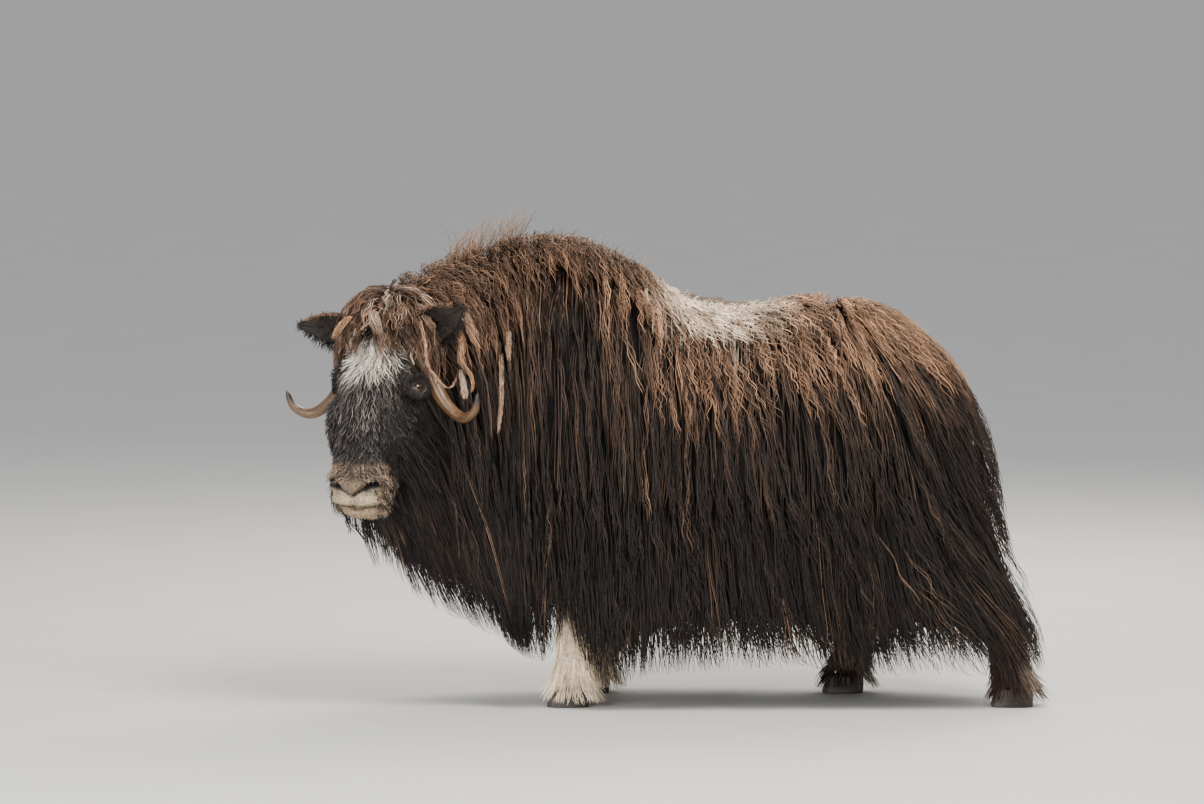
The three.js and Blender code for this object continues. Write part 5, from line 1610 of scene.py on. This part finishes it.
class MUSKOX_OT_eyes(bpy.types.Operator):
    """Model the eyes and their lids"""

    bl_idname = "muskox.eyes"
    bl_label = "Eyes"

    def execute(self, context):
        for word, side in WORDS:
            at = np.array(EYE["at"]) * (1, side, 1)
            facing = unit(np.array(EYE["facing"]) * (1, side, 1))
            level = unit(np.cross([0, 0, 1.0], facing))
            up = np.cross(facing, level)
            self.ball(word, at, facing, level, up)
            self.lids(word, side, at, facing, level, up)
        return {"FINISHED"}

    def ball(self, word, at, facing, level, up):
        """The eyeball, with a slight bulge over the iris."""
        bpy.ops.object.select_all(action="DESELECT")
        bpy.ops.mesh.primitive_uv_sphere_add(segments=64, ring_count=40, radius=EYE["radius"] * 0.985)
        eye = bpy.context.object
        eye.name = "eye_" + word + "_ball"
        p = corners(eye)
        off = np.hypot(p[:, 0], p[:, 1])
        p[:, 2] += 0.0016 * np.clip(1 - (off / IRIS) ** 2, 0, 1) * (p[:, 2] > 0)
        reshape(eye, from_head(at + p[:, :1] * level + p[:, 1:2] * up + p[:, 2:] * facing))
        tidy(eye)
        point_values(eye.data, "disc", "FLOAT_VECTOR", p / IRIS)
        complete(eye, self.eye_finish(word), ["eye_" + word])

    def eye_finish(self, word):
        """A glossy ball with a brown iris and an oval pupil."""
        made = Finish("eye_" + word + "_glossy", 0.10, 0.25, coat=0.35)
        made.shader.inputs["Coat Roughness"].default_value = 0.03
        disc = made.node("ShaderNodeAttribute", {"attribute_name": "disc"}, output=1)
        off, pupil = (self.distance(made, disc, (1, tall, 0)) for tall in (1, 1.9))
        rays = made.noise(5, 4, at=disc)
        iris = made.mix(made.ramp(rays, 0.3, 0.7), (0.030, 0.016, 0.010), (0.075, 0.040, 0.024))
        base = made.mix(made.ramp(pupil, 0.62, 0.56), iris, (0.003, 0.003, 0.003))
        base = made.mix(made.ramp(off, 0.86, 1.0), base, (0.008, 0.006, 0.005))
        base = made.mix(made.ramp(off, 1.12, 1.25), base, (0.16, 0.11, 0.09))
        made.put("Base Color", base)
        return made.material

    def distance(self, made, disc, scales):
        """Distance from the iris's middle, with its axes scaled."""
        scaled = made.node("ShaderNodeMapping", None, {"Vector": disc, "Scale": scales})
        return made.node("ShaderNodeVectorMath", {"operation": "LENGTH"}, {0: scaled}, output=1)

    def lids(self, word, side, at, facing, level, up):
        """A ring of skin that wraps the ball from the edge of the opening outwards."""

        def ring(u, v):
            angle = 2 * np.pi * u
            c, s = np.cos(angle), np.sin(angle)
            high = np.where(s > 0, 0.0132, 0.0110) * s * np.abs(s) ** 0.25 - 0.0015 * c * side
            fold = np.exp(-(((v - 0.46) / 0.05) ** 2)) * 0.0030 - np.exp(-(((v - 0.33) / 0.04) ** 2)) * 0.0025
            rise = np.interp(v, LID_STEPS, LID_RISE) + fold * (0.35 + 0.65 * np.clip(s, 0, 1))
            off = np.stack([0.0178 * c, high], -1) * np.interp(v, LID_STEPS, LID_GROW)[:, None]
            ball = np.sqrt(np.clip(0.0203**2 - (off**2).sum(-1), 0, None))
            rise = np.where(v < 0.12, np.minimum(rise, ball + 0.0003), rise)
            return from_head(at + off[:, :1] * level + off[:, 1:] * up + rise[:, None] * facing)

        lids = shaped_grid("lids_" + word, 48, 26, ring)
        modify(lids, "SUBSURF", levels=1)
        made = Finish("lid_skin_" + word, 0.5, 0.4)
        fine = made.noise(300, 4)
        dark, light = (0.013, 0.010, 0.009), (0.040, 0.030, 0.026)
        made.put("Base Color", made.mix(made.ramp(fine, 0.3, 0.7), dark, light))
        made.bump(fine, 0.5, 0.0008)
        complete(lids, made.material)
        self.lid_hair(word, ring, at, facing, level, up)

    def lid_hair(self, word, ring, at, facing, level, up):
        """Short dark hair over the lids, from the fold outwards."""
        rng = np.random.default_rng([bpy.context.scene.muskox_sizes.seed, 160 + len(word)])
        n = amount(420)
        u, v = rng.uniform(0, 1, n), rng.uniform(0.40, 0.80, n)
        root = ring(u, v)
        angle = 2 * np.pi * u
        out_way = level * np.cos(angle)[:, None] + up * np.sin(angle)[:, None]
        flow = out_way + np.array([0.0, 0.0, -0.45]) + facing * 0.25
        flow = unit(head_way(flow + rng.normal(0, 0.15, (n, 3))))
        rise = head_way(facing)
        t = np.linspace(0, 1, 5)[None, :, None]
        size = rng.uniform(0.008, 0.017, n)[:, None, None]
        paths = root[:, None] + flow[:, None] * size * t + rise * (0.004 * (t - 0.9 * t**2) - 0.001)
        tone = np.array([0.022, 0.017, 0.015]) * rng.lognormal(0, 0.5, n)[:, None]
        colour = np.repeat(tone[:, None], 5, 1)
        hairs = Strands()
        spot = np.stack([0.02 + 0.9 * u, 0.05 + 0.9 * v], -1)
        hairs.add(paths, rise, 0.0017 * rng.uniform(0.7, 1.3, n), colour, spot)
        settle(hairs.mesh("lid_hair_" + word, hair_finish("lid_hair_" + word, 0.5, 0.4)))


# Hair of the leg and of the foot: number, lowest and highest root, length, spread and thickness of a hair
LEG_HAIR = ((640, 0.10, 0.38, 0.085, 0.010, 0.0034), (400, 0.055, 0.15, 0.075, 0.026, 0.0032))


class MUSKOX_OT_legs(bpy.types.Operator):
    """Grow the hair of the legs and model the hooves"""

    bl_idname = "muskox.legs"
    bl_label = "Leg hair and hooves"

    def execute(self, context):
        sizes = context.scene.muskox_sizes
        shades = palette()
        finish = hair_finish("leg_hair", 0.6, 0.3)
        horny = self.hoof_finish()
        for index, (name, rows) in enumerate(LEGS.items()):
            rng = np.random.default_rng([sizes.seed, 130 + index])
            rows = np.array(rows)
            pale = name.startswith("front")
            hairs = Strands()
            for count, *figures in LEG_HAIR:
                self.leg_hair(rng, hairs, rows, pale, amount(count), *figures, shades)
            settle(hairs.mesh("leg_hair_" + name, finish))
            complete(self.hoof(name, rows[-1]), horny, ["hoof_" + name])
        return {"FINISHED"}

    def leg_hair(self, rng, hairs, rows, pale, n, low, high, length, spread, thick, shades):
        """Hair that runs down the leg and flares over the hoof."""
        s = np.linspace(0, 1, 6)[None]
        z = rng.uniform(low, high, n)
        angle = rng.uniform(0, 2 * np.pi, n)
        size = length * rng.uniform(0.7, 1.25, n)
        end = np.maximum(z - size, 0.006 + 0.012 * rng.random(n))
        height = z[:, None] + (end - z)[:, None] * s
        order = rows[::-1]
        figure = lambda column: np.interp(np.maximum(height, rows[-1][2]), order[:, 2], order[:, column])
        foot = smooth(-height, -0.09, -0.02)
        c, si = np.cos(angle)[:, None], np.sin(angle)[:, None]
        away = -0.006 + (spread * rng.uniform(0.4, 1.2, n))[:, None] * s**1.1 + 0.012 * foot * s
        away = away + 0.012 * np.maximum(0, c) * s
        phase = rng.uniform(0, 2 * np.pi, n)[:, None]
        sweep = 0.10 * np.sin(5 * s + phase) * s
        x = figure(0) + (figure(3) + away) * np.cos(angle[:, None] + sweep)
        y = figure(1) + (figure(4) + away) * np.sin(angle[:, None] + sweep)
        paths = np.stack([x, y, height], -1)
        out = np.concatenate([c, si, 0 * c], -1)
        draw = rng.random(n)
        if pale:
            tip = lerp(shades["pale"], shades["pale"] * 1.35, draw)
            tip = lerp(tip, shades["tan"] * 1.3, (draw > 0.88) * 0.6)
            root = shades["pale"] * 1.1 + 0 * tip
        # Hind legs get darker brown hair with black roots: painted shade for the shadow they stand in under
        # the body.
        else:
            tip = lerp(shades["brown"], shades["red_brown"] * 1.3, draw**1.5)
            rear = smooth(np.cos(angle), 0.2, 0.8) * fade(z, 0.12, 0.22)
            tip = lerp(tip, shades["grey_wool"] * 0.9, rear * (0.3 + 0.7 * draw))
            root = shades["black_brown"] + 0 * tip
        colour = hair_colours(rng, root, tip, s**0.8, lambda: rng.lognormal(0, 0.18, n))
        spot = np.stack([0.02 + 0.94 * angle / (2 * np.pi), 0.02 + 0.94 * (z - 0.04) / 0.38], -1)
        hairs.add(paths, out, thick * rng.uniform(0.7, 1.3, n), colour, spot)

    def hoof(self, name, foot):
        """Two rounded claws side by side with a groove between them."""
        claws = []
        for side in (1, -1):

            def claw(u, v, side=side):
                t, inside = capped(v, 10)
                circle = np.cos(2 * np.pi * u), np.sin(2 * np.pi * u)
                round_c, round_s = (np.sign(a) * np.abs(a) ** 0.8 for a in circle)
                scale = (1.0 - 0.16 * t**1.5) * inside
                long = HOOF["length"] / 2 * scale * round_c + 0.010 * t * inside
                wide = (HOOF["width"] / 4 - 0.002) * scale * round_s
                x = foot[0] - HOOF["toe"] + long
                y = foot[1] + side * HOOF["width"] / 4 + wide
                return np.stack([x, y, 0.0002 + (HOOF["top"] - 0.004) * t], -1)

            claws.append(shaped_grid("hoof", 32, 12, claw))
        hoof = join(claws, "hoof_" + name + "_claws")
        modify(hoof, "BEVEL", width=0.0025, segments=2, limit_method="ANGLE", angle_limit=0.7)
        return hoof

    def hoof_finish(self):
        """Dark horn with level bands."""
        made = Finish("hoof_horn", 0.5, 0.4)
        bands = made.noise(22, 4, at=made.stretched((0.6, 0.6, 3.2)))
        dark, light = (0.016, 0.013, 0.011), (0.060, 0.048, 0.040)
        made.put("Base Color", made.mix(made.ramp(bands, 0.3, 0.7), dark, light))
        made.put("Roughness", made.ramp(bands, 0.2, 0.8) * 0.2 + 0.4)
        made.bump(bands, 0.5, 0.0012)
        return made.material


# Strings of shed wool: how grey each is, its half widths and the points of its middle line
WOOL = {
    "rope": (
        0.3,
        (0.0045, 0.0040, 0.0040, 0.0035, 0.0035, 0.0030, 0.0030),
        *((-0.728, -0.322, 1.069), (-0.711, -0.350, 0.998), (-0.704, -0.352, 0.943)),
        *((-0.671, -0.345, 0.895), (-0.651, -0.340, 0.880), (-0.635, -0.330, 0.890)),
        *((-0.618, -0.300, 0.936),),
    ),
    "neck_lock": (
        0.1,
        (0.012, 0.0115, 0.0095, 0.0065, 0.0040, 0.0020),
        *((-0.627, -0.256, 1.029), (-0.614, -0.284, 0.995), (-0.616, -0.296, 0.949)),
        *((-0.590, -0.294, 0.911), (-0.584, -0.294, 0.876), (-0.592, -0.294, 0.860)),
    ),
    "neck_tail": (
        0.8,
        (0.008, 0.010, 0.003),
        *((-0.617, -0.282, 0.925), (-0.607, -0.300, 0.864), (-0.605, -0.298, 0.842)),
    ),
    "ear_flap": (
        0.4,
        (0.010, 0.015, 0.016, 0.012),
        *((-0.609, -0.232, 1.074), (-0.600, -0.256, 1.059), (-0.582, -0.270, 1.017)),
        *((-0.562, -0.277, 0.976),),
    ),
    "shoulder_short": (
        0.4,
        (0.007, 0.007, 0.003),
        *((-0.488, -0.248, 1.026), (-0.488, -0.284, 0.970), (-0.486, -0.288, 0.943)),
    ),
    "shoulder_long": (
        0.5,
        (0.006, 0.006, 0.004, 0.0015),
        *((-0.508, -0.260, 0.966), (-0.508, -0.295, 0.847), (-0.514, -0.295, 0.776)),
        *((-0.517, -0.294, 0.750),),
    ),
    "ear_patch": (
        0.5,
        (0.009, 0.013, 0.004),
        *((-0.715, -0.310, 1.074), (-0.700, -0.322, 1.052), (-0.684, -0.312, 1.020)),
    ),
    "brow_lump": (
        0.7,
        (0.013, 0.017, 0.010),
        *((-0.852, -0.322, 1.085), (-0.845, -0.350, 1.052), (-0.838, -0.354, 1.018)),
    ),
    "brow_side": (
        0.2,
        (0.008, 0.012, 0.006),
        *((-0.915, -0.285, 1.068), (-0.942, -0.278, 1.036), (-0.962, -0.258, 0.999)),
    ),
}


class MUSKOX_OT_wool(bpy.types.Operator):
    """Hang the matted strings of shed wool from the mane and the cap"""

    bl_idname = "muskox.wool"
    bl_label = "Shed wool"

    def execute(self, context):
        sizes = context.scene.muskox_sizes
        shades = palette()
        rng = np.random.default_rng([sizes.seed, 170])
        hairs = Strands()
        for grey, halves, *points in WOOL.values():
            points = np.array(points)
            length = np.linalg.norm(np.diff(points, axis=0), axis=1).sum()
            k = max(8, int(length / 0.010))
            t = np.linspace(0, 1, k)
            n = amount(20 + int(3600 * max(halves)))
            along = rng.uniform(0, 0.10, (n, 1)) + rng.uniform(0.48, 0.90, (n, 1)) * t[None]
            middle = curve_through(points, along)
            half = np.interp(along, np.linspace(0, 1, len(halves)), halves)
            turn, share = rng.uniform(0, 2 * np.pi, (n, 1)), np.sqrt(rng.random((n, 1)))
            twist = turn + rng.normal(1.2, 1.0, (n, 1)) * t[None] * length / 0.1
            swing = rng.uniform(0.0006, 0.0026, (n, 1))
            pitch = rng.uniform(0.022, 0.045, (n, 1))
            ripple = swing * np.sin(2 * np.pi * t[None] * length / pitch + rng.uniform(0, 2 * np.pi, (n, 1)))
            side = half * share * np.cos(twist) + ripple
            deep = 0.5 * half * share * np.sin(twist) + ripple[:, ::-1]
            paths = middle + np.stack([side, deep, 0 * side], -1)
            tone = lerp(shades["golden"] * 0.85, shades["grey_wool"] * 1.35, grey)
            tone = tone * 0.66 * rng.lognormal(0, 0.42, n)[:, None]
            shade = np.linspace(0.8, 1.1, k)[None, :, None]
            spot = np.stack([0.2 + 0.6 * share[:, 0], 0.3 + 0.4 * rng.random(n)], -1)
            width = 0.0021 * rng.uniform(0.5, 1.4, n)
            hairs.add(paths, np.array([0.0, -1.0, 0.0]), width, tone[:, None] * shade, spot, flat=1.0)
        settle(hairs.mesh("shed_wool", hair_finish("matted_wool", 0.85, 0.1)))
        return {"FINISHED"}


# Soft lights: place, size, power and colour; they face the middle of the animal
LIGHTS = (
    ("key_light", (1.5, -3.0, 5.0), 2.6, 420, (1.0, 0.96, 0.90)),
    ("side_light", (-4.0, -4.5, 2.5), 3.0, 170, (0.95, 0.97, 1.0)),
    ("back_light", (1.0, 3.5, 4.0), 3.0, 300, (1.0, 0.94, 0.86)),
    ("low_light", (-1.2, -5.0, 0.8), 2.5, 130, (1.0, 0.97, 0.93)),
)
LIT = Vector((0, 0, 0.7))
AIM = np.array([-0.2376, -0.16, 0.826])  # what the camera looks at, in the animal's axes
CAMERA_RISE = 5  # degrees from which it looks down
SENSOR = 36  # millimetres


class MUSKOX_OT_stage(bpy.types.Operator):
    """Set the floor, the soft lights and the camera"""

    bl_idname = "muskox.stage"
    bl_label = "Stage"

    def execute(self, context):
        stage = context.scene.muskox_stage
        bpy.ops.object.select_all(action="DESELECT")
        bpy.ops.mesh.primitive_plane_add(size=stage.floor, location=(0, 0, 0))
        floor = context.object
        floor.name = "floor"
        made = Finish("pale_floor", 0.8, 0.2)
        made.put("Base Color", made.mix(made.noise(3, 2), (0.60, 0.59, 0.57), (0.66, 0.65, 0.63)))
        floor.data.materials.append(made.material)
        world = bpy.data.worlds.new("studio")
        world.use_nodes = True
        background = world.node_tree.nodes["Background"]
        background.inputs[0].default_value = (0.80, 0.82, 0.85, 1)
        background.inputs[1].default_value = 0.75
        context.scene.world = world
        for name, at, size, power, colour in LIGHTS:
            light = bpy.data.lights.new(name, "AREA")
            light.size = size
            light.energy = power
            light.color = colour
            lamp = bpy.data.objects.new(name, light)
            lamp.location = at
            lamp.rotation_euler = (LIT - Vector(at)).to_track_quat("-Z", "Y").to_euler()
            context.scene.collection.objects.link(lamp)
        rise = math.radians(CAMERA_RISE)
        aim = Vector(AIM + SHIFT)
        eye = aim + Vector((0, -math.cos(rise), math.sin(rise))) * stage.distance
        camera_data = bpy.data.cameras.new("camera")
        camera_data.sensor_width = SENSOR
        camera_data.lens = SENSOR * stage.distance / stage.width
        camera_data.clip_end = 200
        camera = bpy.data.objects.new("camera", camera_data)
        camera.location = eye
        camera.rotation_euler = (aim - eye).to_track_quat("-Z", "Y").to_euler()
        context.scene.collection.objects.link(camera)
        context.scene.camera = camera
        return {"FINISHED"}


class MUSKOX_PT_panel(bpy.types.Panel):
    bl_label = "Muskox"
    bl_idname = "MUSKOX_PT_panel"
    bl_space_type = "VIEW_3D"
    bl_region_type = "UI"
    bl_category = "Muskox"

    def draw(self, context):
        for operator in STEPS:
            self.layout.operator(operator.bl_idname)
        for group in (context.scene.muskox_sizes, context.scene.muskox_colours, context.scene.muskox_stage):
            for key in group.__annotations__:
                self.layout.prop(group, key)


STEPS = (
    MUSKOX_OT_stage,
    MUSKOX_OT_skin,
    MUSKOX_OT_eyes,
    MUSKOX_OT_horns,
    MUSKOX_OT_ears,
    MUSKOX_OT_trunk_coat,
    MUSKOX_OT_mane,
    MUSKOX_OT_cap,
    MUSKOX_OT_face_hair,
    MUSKOX_OT_legs,
    MUSKOX_OT_wool,
)
CLASSES = (MuskoxColours, MuskoxSizes, MuskoxStage, *STEPS, MUSKOX_PT_panel)


def register():
    for cls in CLASSES:
        bpy.utils.register_class(cls)
    bpy.types.Scene.muskox_colours = PointerProperty(type=MuskoxColours)
    bpy.types.Scene.muskox_sizes = PointerProperty(type=MuskoxSizes)
    bpy.types.Scene.muskox_stage = PointerProperty(type=MuskoxStage)


def unregister():
    del bpy.types.Scene.muskox_stage
    del bpy.types.Scene.muskox_sizes
    del bpy.types.Scene.muskox_colours
    for cls in reversed(CLASSES):
        bpy.utils.unregister_class(cls)


def main():
    register()
    bpy.ops.muskox.stage()
    bpy.ops.muskox.skin()
    bpy.ops.muskox.eyes()
    bpy.ops.muskox.horns()
    bpy.ops.muskox.ears()
    bpy.ops.muskox.trunk_coat()
    bpy.ops.muskox.mane()
    bpy.ops.muskox.cap()
    bpy.ops.muskox.face_hair()
    bpy.ops.muskox.legs()
    bpy.ops.muskox.wool()


if __name__ == "__main__":
    main()
